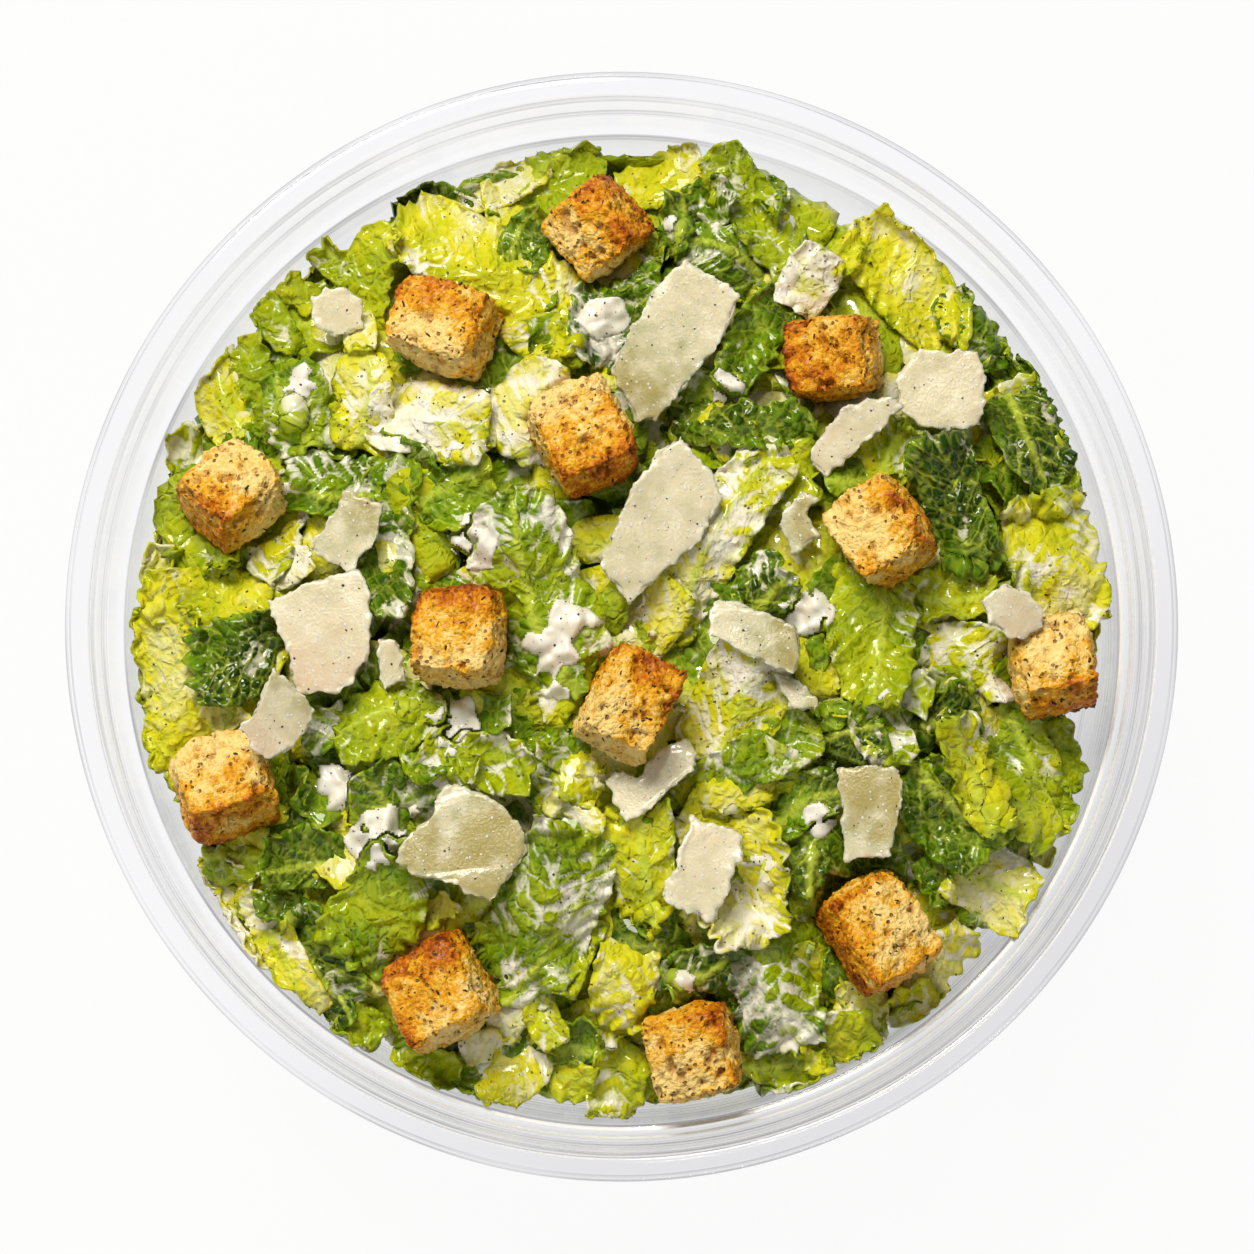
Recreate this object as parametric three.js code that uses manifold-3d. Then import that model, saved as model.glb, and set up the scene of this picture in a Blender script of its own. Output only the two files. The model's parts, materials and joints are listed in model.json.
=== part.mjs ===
// Caesar salad in an open, clear takeaway bowl.
// Units are millimetres, +Z is up, and the origin is the middle of the bowl's flat base.
//
// One group holds the bowl, the heap of lettuce, the croutons and the parmesan shavings.
// Every place on the heap is given by x and y alone: its height follows from the heap's dome.

import * as THREE from 'three';
import * as BufferGeometryUtils from 'three/addons/utils/BufferGeometryUtils.js';
import Module from 'manifold-3d';

const wasm = await Module();
wasm.setup();

// ---------------------------------------------------------------- driving dimensions

const BOWL_HEIGHT = 60;
const RIM_RADIUS = 92.5;
const BASE_RADIUS = 52;
const WALL = 0.7;
const CREASE_RADIUS = 83.7;
const CREASE_HEIGHT = 47;
const WALL_SWEEP = THREE.MathUtils.degToRad(70);
const WALL_STEPS = 7;
const BOWL_SIDES = 40;

const GAP = 0.35;
const SLIVER = 0.02;
const CORE_GAP = 0.9;
const ROOM_TOP = 110;

const HEAP_TOP = 59;
const HEAP_EDGE = 43;
const HEAP_RADIUS = 82;
const HEAP_POWER = 2.4;
const CORE_SIDES = 32;
const CORE_RINGS = 4;

const LEAF_THICKNESS = 1.1;
const LEAF_TUCK = 1.3;
const LEAF_STEP = 7;
const LEAF_ARCH = 0.08;
const LEAF_FRILL = 0.07;

const CROUTON_DEPTH = 14;
const CROUTON_SINK = 2.6;
const CROUTON_CRAG = 0.45;

const SHAVING_THICKNESS = 1.3;
const SHAVING_STEP = 4;
const SHAVING_TOOTH = 0.4;

const GOLDEN_ANGLE = 2.39996;

// ---------------------------------------------------------------- places on the heap

// Romaine pieces by kind: x, y, length, width, heading of the free tip in degrees, rise of
// the tip over the heap, and how far the left side stands above the right one.
const LEAVES = {
  dark: [
    [-28, 68.5, 22, 9, 155, 2, 0],
    [-15, 64, 10, 8, 60, 1, 0],
    [12.5, 71, 11, 7, 35, 4, 1],
    [23, 73, 11, 7, -30, 2, 0],
    [17, 60.5, 16, 10, 160, 4, 0],
    [9, 66.5, 11, 6, 80, 5, 0],
    [-1, 52.5, 20, 12, 75, 6, 1],
    [23, 47, 22, 9, 236, 5, -1],
    [58.5, 50, 15, 9, 120, 2, 0],
    [66.5, 34, 23, 12, -65, 3, 1],
    [19, 34, 27, 8, -5, 5, 1],
    [55, 20, 23, 12, 110, 5, -2],
    [65, 26, 14, 10, -60, 2, 0],
    [22.5, 5, 12, 9, 40, 3, 0],
    [-48, 23.5, 16, 10, 170, 4, 0],
    [-38, 14, 27, 10, 265, 3, 0],
    [-62.5, -5, 17, 14, 200, 4, 1],
    [-55, -30, 14, 7, 90, 3, 0],
    [-52, -39, 15, 9, 180, 4, 0],
    [-56, -45, 9, 7, 200, 2, 0],
    [-49, -55, 17, 10, 300, 3, 1],
    [-33, -72, 11, 6, 320, 2, 0],
    [-26, -75, 9, 6, 300, 1, 0],
    [-39, -29, 12, 10, 120, 4, 0],
    [-20, -18.5, 11, 6, 0, 3, 0],
    [-8, -21.5, 11, 7, 160, 3, 0],
    [36, -18.5, 14, 9, 10, 3, 0],
    [30, -30, 15, 8, 30, 4, 0],
    [31, -40, 10, 7, 270, 2, 0],
    [7, -51, 9, 5, 120, 2, 0],
    [12.5, -57, 11, 8, 20, 3, 0],
    [54, -31, 20, 13, -45, 5, 2],
    [51, -42, 9, 6, -70, 2, 0],
    [73.5, -21, 12, 6, -70, 1, 0],
    [53, -15, 12, 9, 20, 1, 0],
  ],
  green: [
    [23, 69, 25, 10, 125, 4, 0],
    [15, 29.5, 14, 7, 0, 2, 0],
    [71, 26, 13, 8, -70, 2, 0],
    [-53.5, 36, 16, 12, 110, 4, 1],
    [-27, 21, 14, 11, 20, 3, 0],
    [-13, 5, 34, 18, 110, 5, -2],
    [-13.5, -47, 30, 18, 65, 5, 2],
    [20, -23.5, 24, 9, 28, 5, 1],
    [35, -15.5, 10, 4, 15, 4, 0],
    [32, -7, 9, 4, 90, 3, 0],
    [-64, -47, 21, 8, 300, 1, 0],
    [-64, -39, 10, 6, 0, 1, 0],
    [-43, -66, 9, 7, 220, 2, 0],
    [-8, -69, 9, 6, 0, 3, 0],
    [26, -60, 20, 15, 280, 4, 1],
    [30.5, -67, 7, 5, 280, 3, 0],
  ],
  lime: [
    [-11, 75, 18, 10, 35, 3, 0],
    [33, 66, 18, 9, -30, 2, 0],
    [-41.5, 58, 17, 9, 75, 3, 0],
    [-48, 61, 8, 6, 140, 2, 0],
    [-57.5, 50.5, 12, 6, 125, 2, 0],
    [-61.5, 43, 11, 6, 110, 2, 0],
    [-58.5, 34, 10, 8, 60, 3, 0],
    [44, 28, 14, 11, 60, 3, 0],
    [41, -2, 24, 14, 270, 4, 1],
    [54, 5, 14, 9, 10, 3, 0],
    [-72, 28, 9, 6, 100, 2, 0],
    [-74.5, 17, 11, 5, 95, 2, 0],
    [-57, 16, 17, 8, 80, 3, 0],
    [-1.5, 1.5, 10, 6, 70, 2, 0],
    [-66, -14, 10, 7, -60, 2, 0],
    [-49, -17, 9, 7, 200, 2, 0],
    [-38, -16, 18, 12, 200, 4, 1],
    [-30, -25, 14, 10, 60, 3, 0],
    [-21, -24, 14, 9, -10, 4, 0],
    [43, -18, 12, 9, -60, 4, 0],
    [45, -10.5, 11, 6, -20, 3, 0],
    [66, -25, 25, 14, -60, 4, -2],
    [-7, -54, 15, 6, 245, 3, 0],
    [-1, -75, 15, 9, 260, 3, 0],
    [-10, -74, 11, 8, -20, 2, 0],
    [27, -72, 14, 8, -10, 2, 0],
    [36, -69, 13, 10, 20, 3, 0],
    [47.5, -62, 10, 5, 30, 2, 0],
    [37, -58, 12, 7, 90, 1, 0],
  ],
  heart: [
    [-22, 58, 38, 16, 145, 4, 1],
    [47, 57, 26, 13, 130, 4, -1],
    [16, 13, 38, 12, 57, 4, 1],
    [73, 11, 24, 16, 285, 3, 1],
    [58, -6, 18, 11, -15, 4, 1],
    [-69, 4.5, 23, 11, 175, 3, 0],
    [-75, -10, 27, 12, 95, 2, 0],
    [58.5, -25, 22, 8, 110, 5, 2],
    [-40.5, -47, 18, 14, 60, 4, 1],
    [3, -39.5, 19, 11, 95, 4, 0],
    [19, -42, 23, 16, -75, 4, 1],
    [1.5, -58, 18, 10, 260, 4, 0],
    [53, -56, 16, 8, 50, 2, 0],
  ],
  pale: [
    [-19, 75, 16, 7, 20, 2, 0],
    [6, 75.5, 15, 9, 20, 2, 0],
    [-66, 38.5, 16, 8, 105, 1, 0],
    [-54, -57, 17, 8, 300, 2, 0],
    [-7.5, -31.5, 11, 5, -25, 4, 0],
    [-18, -74, 12, 9, 230, 3, 0],
    [-12, -65.5, 9, 6, -60, 3, 0],
    [61, -43, 16, 13, -30, 2, 0],
    [30, -44.5, 8, 6, -80, 3, 0],
  ],
  coated: [
    [31, 57.5, 12, 9, 60, 5, 0],
    [-43.5, 48.5, 8, 6, -80, 4, 0],
    [-43, 37.5, 15, 10, 90, 4, 0],
    [-32, 33, 20, 13, -10, 5, 1],
    [-15, 35, 17, 12, 70, 4, 0],
    [18, -14, 20, 15, 60, 4, 1],
    [-33, -14, 8, 6, 0, 4, 0],
    [-22, -14.5, 7, 6, 0, 3, 0],
  ],
};

// Dollops of dressing: x, y and diameter.
const DOLLOPS = [
  [-51, 47, 5],
  [8, 67.5, 5],
  [-3, 52, 5],
  [17, 39, 5],
  [31, 2, 7],
  [-8, 1, 6],
  [-12, -6.5, 7],
  [-24, 13, 6],
  [-39.7, -35, 7],
  [-27, -16.5, 7],
  [-48, -26, 6],
  [32.5, -33, 6],
  [10, -59, 5],
];

// Croutons: x, y, two side lengths, turn about the vertical, the way the top leans and
// by how much, and the lift of the whole crouton over its usual seat.
const CROUTONS = [
  [-4.1, 66.6, 14, 14, 39, 220, 24, 1],
  [-29.9, 49.7, 17, 14, -20, 135, 16, 1],
  [-6.4, 30.8, 15, 18, 24, 110, 14, 1],
  [35.6, 44.7, 15, 14, 5, 190, 20, 0],
  [-65.4, 21.8, 15, 14, 42, 90, 24, 1],
  [-26.6, -2.7, 15, 16, -4, 135, 16, 1],
  [1.2, -13.8, 13, 18, -26, 20, 14, 1],
  [43.2, 14.8, 14, 16, 35, 160, 20, 0],
  [72, -6.9, 14, 15, 12, 100, 20, 2],
  [-66.1, -27.1, 16, 15, 20, 100, 26, 1],
  [-30.1, -61.1, 16, 17, 28, 170, 20, 1],
  [42.4, -51.3, 15, 18, 32, 30, 16, 1],
  [11.9, -71, 15, 15, 14, 240, 12, 2],
];

// Parmesan shavings: height of the middle over the heap, rise per millimetre along x and
// along y, how deep it cups, and the corners of its outline.
const SHAVINGS = [
  [6, 0.06, 0.1, 1, [[10, 60.5], [20, 54], [17, 47], [13, 42], [6, 33], [2, 33], [-2, 42], [4, 53]]],
  [6, -0.05, 0.08, 1, [[10, 31], [17, 20.5], [12, 12], [1.5, 2.5], [-4, 9], [0, 18], [5, 27]]],
  [6, 0.1, 0, 1, [[-46, 22], [-39.5, 19], [-41, 13], [-45, 8], [-52, 12], [-48, 19]]],
  [10, -0.2, 0.2, 1, [[-57.8, -7.7], [-50.2, -14.7], [-53, -19.5], [-58.3, -23.8], [-63.4, -18.1], [-60.4, -13.4]]],
  [6, 0.05, -0.1, 2, [[-28, -26.5], [-20, -30], [-15, -37], [-21.5, -47], [-30, -43], [-38, -40.5], [-32, -32]]],
  [6, 0, -0.05, 1, [[11.7, -31.8], [20.8, -35.2], [18.7, -41], [15.2, -50.2], [6.1, -46], [9, -40.4]]],
  [5, 0.15, 0, 1, [[35.5, -24], [46.5, -24.3], [45.7, -32], [44, -40], [37, -39.7], [36.5, -30]]],
  [8, -0.05, -0.1, 1, [[15, 3.5], [24, 1], [29.5, -2], [29, -10], [21, -6.5], [13.5, -3]]],
  [5.5, 0.1, -0.1, 0, [[24, -8], [31, -11], [33.5, -14.5], [28, -15.7]]],
  [11.5, -0.25, 0.1, 1, [[58.5, 3.5], [63.9, 6.5], [69.5, 3.5], [70.8, 0.4], [68, -4.5], [60.8, -0.4]]],
  [5, -0.1, 0.1, 0, [[-52, 55.5], [-49.5, 57], [-43.5, 56], [-43, 50], [-48, 48], [-52.5, 52]]],
  [3.5, 0.1, -0.2, 1, [[11.2, -19], [13, -23.4], [8.2, -28.1], [0.8, -33.6], [-3.1, -26.4], [4, -22]]],
  [6, 0.1, 0.05, 2, [[-58.7, 3.5], [-43.6, 9.4], [-41.4, 4.8], [-42, -7], [-47, -12], [-54, -12], [-55.5, -5]]],
  [4, 0.1, 0.1, 0, [[30, 22], [33, 20], [36, 17], [35, 15], [28, 11], [26, 16]]],
  [6.5, 0.05, 0, 1, [[46, 42], [50, 46], [60, 46], [61, 38], [60, 33], [50, 32.5], [46, 36]]],
  [4.5, 0.1, 0.15, 1, [[42, 39], [47, 36], [40, 29], [34, 24], [31, 27], [34, 33]]],
  [4, 0, 0.1, 0, [[-41, -2.5], [-36.5, -3], [-35.5, -10], [-39.5, -12]]],
];

// ---------------------------------------------------------------- colours

const PET = new THREE.MeshStandardMaterial({
  color: 0xf2f4f5, roughness: 0.06, metalness: 0, transparent: true, opacity: 0.3,
});
const ROMAINE = new THREE.MeshStandardMaterial({ color: 0x7fa02c, roughness: 0.42, metalness: 0 });
const TOAST = new THREE.MeshStandardMaterial({ color: 0xd9a04e, roughness: 0.85, metalness: 0 });
const PARMESAN = new THREE.MeshStandardMaterial({ color: 0xe6dcb8, roughness: 0.55, metalness: 0 });

// ---------------------------------------------------------------- solids and joins

// A repeatable number from -1 to 1 for a whole number and a row of such numbers.
function jitter(index, row) {
  const wave = Math.sin(index * 127.1 + row * 311.7) * 43758.5453;
  return 2 * (wave - Math.floor(wave)) - 1;
}

function meshGeometry(points, triangles) {
  const geometry = new THREE.BufferGeometry();
  geometry.setAttribute('position', new THREE.Float32BufferAttribute(points.flat(), 3));
  geometry.setIndex(triangles.flat());
  return geometry;
}

function mergedGeometry(geometry) {
  const bare = geometry.clone();
  bare.deleteAttribute('normal');
  bare.deleteAttribute('uv');
  return BufferGeometryUtils.mergeVertices(bare);
}

function toSolid(geometry) {
  const merged = mergedGeometry(geometry);
  const index = merged.index.array;
  const triVerts = [];
  for (let i = 0; i < index.length; i += 3) {
    const [a, b, c] = [index[i], index[i + 1], index[i + 2]];
    if (a !== b && b !== c && c !== a) triVerts.push(a, b, c);
  }
  return new wasm.Manifold(new wasm.Mesh({
    numProp: 3,
    vertProperties: new Float32Array(merged.attributes.position.array),
    triVerts: new Uint32Array(triVerts),
  }));
}

function fromSolid(solid) {
  const { vertProperties, triVerts } = solid.getMesh();
  const geometry = new THREE.BufferGeometry();
  geometry.setAttribute('position', new THREE.BufferAttribute(vertProperties, 3));
  geometry.setIndex(new THREE.BufferAttribute(triVerts, 1));
  return geometry;
}

function largestBody(solid) {
  const bodies = solid.decompose();
  return bodies.reduce((best, body) => (body.volume() > best.volume() ? body : best));
}

function namedMesh(name, geometry, material) {
  const flat = geometry.index ? geometry.toNonIndexed() : geometry;
  flat.computeVertexNormals();
  const mesh = new THREE.Mesh(flat, material);
  mesh.name = name;
  return mesh;
}

// ---------------------------------------------------------------- bowl

// The outer skin as points of radius and height, from the middle of the base to the lip.
function bowlSkin() {
  const points = [[0, 0], [BASE_RADIUS, 0]];
  const flare = CREASE_RADIUS - BASE_RADIUS;
  for (let step = 1; step <= WALL_STEPS; step += 1) {
    const turn = (WALL_SWEEP * step) / WALL_STEPS;
    points.push([
      BASE_RADIUS + (flare * Math.sin(turn)) / Math.sin(WALL_SWEEP),
      (CREASE_HEIGHT * (1 - Math.cos(turn))) / (1 - Math.cos(WALL_SWEEP)),
    ]);
  }
  points.push([CREASE_RADIUS + 1.3, CREASE_HEIGHT + 0.6]);
  points.push([CREASE_RADIUS + 3, CREASE_HEIGHT + 5.5]);
  points.push([CREASE_RADIUS + 4.6, CREASE_HEIGHT + 10]);
  points.push([CREASE_RADIUS + 5.2, BOWL_HEIGHT - WALL]);
  points.push([RIM_RADIUS - 1.2, BOWL_HEIGHT - WALL]);
  points.push([RIM_RADIUS - WALL, BOWL_HEIGHT - WALL - 0.5]);
  points.push([RIM_RADIUS - WALL, BOWL_HEIGHT - 2.6]);
  return points;
}

// The same line moved towards the inside of the bowl by a distance.
function insetLine(points, distance) {
  return points.map(([radius, height], i) => {
    const before = points[Math.max(i - 1, 0)];
    const after = points[Math.min(i + 1, points.length - 1)];
    const first = new THREE.Vector2(radius - before[0], height - before[1]).normalize();
    const second = new THREE.Vector2(after[0] - radius, after[1] - height).normalize();
    const along = first.clone().add(second).normalize();
    const shortening = Math.max(along.dot(second), along.dot(first));
    const reach = distance / shortening;
    return [radius === 0 ? 0 : radius - along.y * reach, height + along.x * reach];
  });
}

function latheUp(points, sides) {
  const profile = points.map(([radius, height]) => new THREE.Vector2(radius, height));
  return new THREE.LatheGeometry(profile, sides).rotateX(Math.PI / 2);
}

function bowlGeometry() {
  const outside = bowlSkin();
  const inside = insetLine(outside, WALL).reverse();
  return latheUp([...outside, ...inside], BOWL_SIDES);
}

// All the space over the bowl's inside that the salad may fill.
function roomSolid() {
  const sides = insetLine(bowlSkin(), WALL + GAP);
  const wallTop = sides.findIndex(([, height]) => height > CREASE_HEIGHT + 9);
  const lower = sides.slice(0, wallTop + 1);
  const widest = lower[lower.length - 1][0];
  return toSolid(latheUp([...lower, [widest, ROOM_TOP], [0, ROOM_TOP]], BOWL_SIDES));
}

// ---------------------------------------------------------------- heap of romaine

function heapHeight(x, y) {
  const reach = Math.min(Math.hypot(x, y) / HEAP_RADIUS, 1);
  const dome = HEAP_TOP - (HEAP_TOP - HEAP_EDGE) * reach ** HEAP_POWER;
  return dome + 0.8 * Math.sin(x / 11 + 0.6) * Math.cos(y / 9);
}

// The body of the heap: it fills the bowl to a domed top.
function coreSolid() {
  const wallLine = insetLine(bowlSkin(), WALL + CORE_GAP);
  const levels = wallLine.filter(([radius, height]) => radius > 0 && height < HEAP_EDGE - 3);
  const floor = wallLine[0][1];
  const points = [[0, 0, heapHeight(0, 0)]];
  const rings = [];
  for (let ring = 1; ring <= CORE_RINGS; ring += 1) {
    rings.push({ radius: ((HEAP_RADIUS - 2.5) * ring) / CORE_RINGS, height: null });
  }
  for (const [radius, height] of levels.reverse()) rings.push({ radius, height });
  for (const { radius, height } of rings) {
    for (let side = 0; side < CORE_SIDES; side += 1) {
      const turn = (2 * Math.PI * side) / CORE_SIDES;
      const [x, y] = [radius * Math.cos(turn), radius * Math.sin(turn)];
      points.push([x, y, height ?? heapHeight(x, y)]);
    }
  }
  points.push([0, 0, floor]);
  const triangles = [];
  const at = (ring, side) => 1 + ring * CORE_SIDES + (side % CORE_SIDES);
  for (let side = 0; side < CORE_SIDES; side += 1) {
    triangles.push([0, at(0, side), at(0, side + 1)]);
    for (let ring = 1; ring < rings.length; ring += 1) {
      triangles.push([at(ring - 1, side), at(ring, side), at(ring, side + 1)]);
      triangles.push([at(ring - 1, side), at(ring, side + 1), at(ring - 1, side + 1)]);
    }
    triangles.push([at(rings.length - 1, side), points.length - 1, at(rings.length - 1, side + 1)]);
  }
  return toSolid(meshGeometry(points, triangles));
}

// A point of a leaf's upper face. u runs from the tucked tail, -1, to the free tip, 1, and v
// from the right edge, -1, to the left edge, 1.
function leafPoint([x, y, length, width, heading, rise, roll], seed, u, v) {
  const phase = seed * GOLDEN_ANGLE;
  const narrowing = 1 - 0.26 * Math.abs(u) ** 3 + 0.1 * u * Math.cos(phase);
  const along = 0.5 * length * u * (1 - 0.12 * v * v);
  const across = 0.5 * width * v * narrowing + 0.05 * length * (1 - u * u) * Math.sin(phase);
  const turn = THREE.MathUtils.degToRad(heading);
  const px = x + along * Math.cos(turn) - across * Math.sin(turn);
  const py = y + along * Math.sin(turn) + across * Math.cos(turn);
  const lift = (rise + LEAF_TUCK) * (0.5 + 0.5 * u) ** 0.8 - LEAF_TUCK;
  const arch = LEAF_ARCH * width * (1 - v * v) * (seed % 3 === 0 ? -1 : 1);
  const frill = LEAF_FRILL * width * v * Math.sin(3.1 * u + phase);
  return [px, py, heapHeight(px, py) + lift + arch + frill + 0.5 * roll * v];
}

function leafSolid(leaf, seed) {
  const [, , length, width] = leaf;
  const columns = Math.max(2, Math.round(length / LEAF_STEP));
  const rows = Math.max(1, Math.round(width / LEAF_STEP));
  const points = [];
  for (const depth of [0, LEAF_THICKNESS]) {
    for (let i = 0; i <= columns; i += 1) {
      for (let j = 0; j <= rows; j += 1) {
        const [x, y, z] = leafPoint(leaf, seed, (2 * i) / columns - 1, (2 * j) / rows - 1);
        points.push([x, y, z - depth]);
      }
    }
  }
  const stride = rows + 1;
  const face = (columns + 1) * stride;
  const triangles = [];
  for (let i = 0; i < columns; i += 1) {
    for (let j = 0; j < rows; j += 1) {
      const [a, b, c, d] = [i * stride + j, (i + 1) * stride + j, (i + 1) * stride + j + 1, i * stride + j + 1];
      triangles.push([a, b, c], [a, c, d]);
      triangles.push([face + a, face + c, face + b], [face + a, face + d, face + c]);
    }
  }
  const rim = [];
  for (let i = 0; i < columns; i += 1) rim.push(i * stride);
  for (let j = 0; j < rows; j += 1) rim.push(columns * stride + j);
  for (let i = columns; i > 0; i -= 1) rim.push(i * stride + rows);
  for (let j = rows; j > 0; j -= 1) rim.push(j);
  rim.forEach((here, k) => {
    const next = rim[(k + 1) % rim.length];
    triangles.push([here, face + here, face + next], [here, face + next, next]);
  });
  return toSolid(meshGeometry(points, triangles));
}

function dollopSolid([x, y, diameter]) {
  const blob = new THREE.SphereGeometry(diameter / 2, 7, 4).rotateX(Math.PI / 2).scale(1.1, 0.9, 0.6);
  return toSolid(blob.translate(x, y, heapHeight(x, y) + 3.2));
}

function saladSolid(toppings) {
  const leaves = Object.values(LEAVES).flat().map(leafSolid);
  const dollops = DOLLOPS.map(dollopSolid);
  const heap = wasm.Manifold.union([coreSolid(), ...leaves, ...dollops]);
  const fitted = heap.subtract(wasm.Manifold.union(toppings)).intersect(roomSolid());
  return largestBody(fitted.simplify(SLIVER));
}

// ---------------------------------------------------------------- croutons

// A bread cube with worn corners and a cragged crust.
function croutonGeometry([, , sideX, sideY], seed) {
  const half = [sideX / 2, sideY / 2, CROUTON_DEPTH / 2];
  const box = mergedGeometry(new THREE.BoxGeometry(sideX, sideY, CROUTON_DEPTH, 3, 3, 3));
  const place = box.attributes.position;
  for (let i = 0; i < place.count; i += 1) {
    const unit = [place.getX(i) / half[0], place.getY(i) / half[1], place.getZ(i) / half[2]];
    const flat = Math.max(...unit.map(Math.abs));
    const round = unit.reduce((sum, value) => sum + Math.abs(value) ** 6, 0) ** (1 / 6);
    const crag = CROUTON_CRAG * jitter(i, seed);
    const worn = unit.map((value, axis) => value * (flat / round) * (half[axis] + crag));
    place.setXYZ(i, ...worn);
  }
  return box;
}

function placeCrouton(object, [x, y, , , turn, leanWay, lean, lift]) {
  const way = THREE.MathUtils.degToRad(leanWay);
  const axis = new THREE.Vector3(-Math.sin(way), Math.cos(way), 0);
  object.quaternion.setFromAxisAngle(axis, THREE.MathUtils.degToRad(lean));
  object.rotateZ(THREE.MathUtils.degToRad(turn));
  object.position.set(x, y, heapHeight(x, y) + CROUTON_DEPTH / 2 - CROUTON_SINK + lift);
  object.updateMatrix();
  return object;
}

// The room that a crouton needs in the heap.
function croutonSeat(crouton) {
  const [, , sideX, sideY] = crouton;
  const spare = 2 * (CROUTON_CRAG + GAP);
  const box = new THREE.BoxGeometry(sideX + spare, sideY + spare, CROUTON_DEPTH + spare);
  return toSolid(box.applyMatrix4(placeCrouton(new THREE.Object3D(), crouton).matrix));
}

// ---------------------------------------------------------------- parmesan

// The outline with its broken, toothed edge.
function shavingOutline(corners, seed, growth) {
  const outline = [];
  corners.forEach(([x, y], i) => {
    const [nextX, nextY] = corners[(i + 1) % corners.length];
    const run = Math.hypot(nextX - x, nextY - y);
    const pieces = Math.max(1, Math.round(run / SHAVING_STEP));
    for (let k = 0; k < pieces; k += 1) {
      const share = k / pieces;
      const tooth = k === 0 ? 0 : SHAVING_TOOTH * (1 + jitter(i * 7 + k, seed));
      outline.push(new THREE.Vector2(
        x + (nextX - x) * share - (tooth * (nextY - y)) / run,
        y + (nextY - y) * share + (tooth * (nextX - x)) / run,
      ));
    }
  });
  if (THREE.ShapeUtils.isClockWise(outline)) outline.reverse();
  return outline.map((point, i) => {
    const before = outline[(i + outline.length - 1) % outline.length];
    const after = outline[(i + 1) % outline.length];
    const along = after.clone().sub(before).normalize();
    return new THREE.Vector2(point.x + along.y * growth, point.y - along.x * growth);
  });
}

function shavingGeometry([lift, riseX, riseY, cup, corners], seed, growth) {
  const outline = shavingOutline(corners, seed, growth);
  const middle = new THREE.Vector2();
  corners.forEach(([x, y]) => middle.add(new THREE.Vector2(x, y).divideScalar(corners.length)));
  const reach = Math.max(...corners.map(([x, y]) => Math.hypot(x - middle.x, y - middle.y)));
  const height = heapHeight(middle.x, middle.y) + lift;
  const faces = THREE.ShapeUtils.triangulateShape(outline, []);
  const points = [];
  for (const side of [1, -1]) {
    for (const { x, y } of outline) {
      const [dx, dy] = [x - middle.x, y - middle.y];
      const bend = cup * ((dx * dx + dy * dy) / (reach * reach) - 0.5);
      const level = height + riseX * dx + riseY * dy - bend;
      points.push([x, y, level + side * (SHAVING_THICKNESS / 2 + growth)]);
    }
  }
  const count = outline.length;
  const triangles = faces.flatMap(([a, b, c]) => [[a, b, c], [count + a, count + c, count + b]]);
  for (let i = 0; i < count; i += 1) {
    const next = (i + 1) % count;
    triangles.push([i, count + i, count + next], [i, count + next, next]);
  }
  return meshGeometry(points, triangles);
}

// ---------------------------------------------------------------- the whole salad

function numbered(name, index) {
  return `${name}_${String(index + 1).padStart(2, '0')}`;
}

function buildSalad() {
  const group = new THREE.Group();
  group.add(namedMesh('bowl', bowlGeometry(), PET));

  const seats = CROUTONS.map(croutonSeat);
  CROUTONS.forEach((crouton, i) => {
    const mesh = namedMesh(numbered('crouton', i), croutonGeometry(crouton, i), TOAST);
    group.add(placeCrouton(mesh, crouton));
  });

  SHAVINGS.forEach((shaving, i) => {
    const fitted = toSolid(shavingGeometry(shaving, i, 0)).subtract(wasm.Manifold.union(seats));
    group.add(namedMesh(numbered('parmesan', i), fromSolid(largestBody(fitted)), PARMESAN));
    seats.push(toSolid(shavingGeometry(shaving, i, GAP)));
  });

  group.add(namedMesh('salad', fromSolid(saladSolid(seats)), ROMAINE));
  return group;
}

export default buildSalad();
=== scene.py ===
"""Caesar salad in an open, clear takeaway bowl: every visible piece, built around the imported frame.

Lengths are millimetres until a mesh is made, +Z is up, and the origin is the middle of the bowl's
flat base. Leaves are laid one after another on a height grid, so that each drapes over those below.
"""

import collections
import itertools
import json
import math

import bpy
import numpy as np
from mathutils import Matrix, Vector
from mathutils.bvhtree import BVHTree

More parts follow.
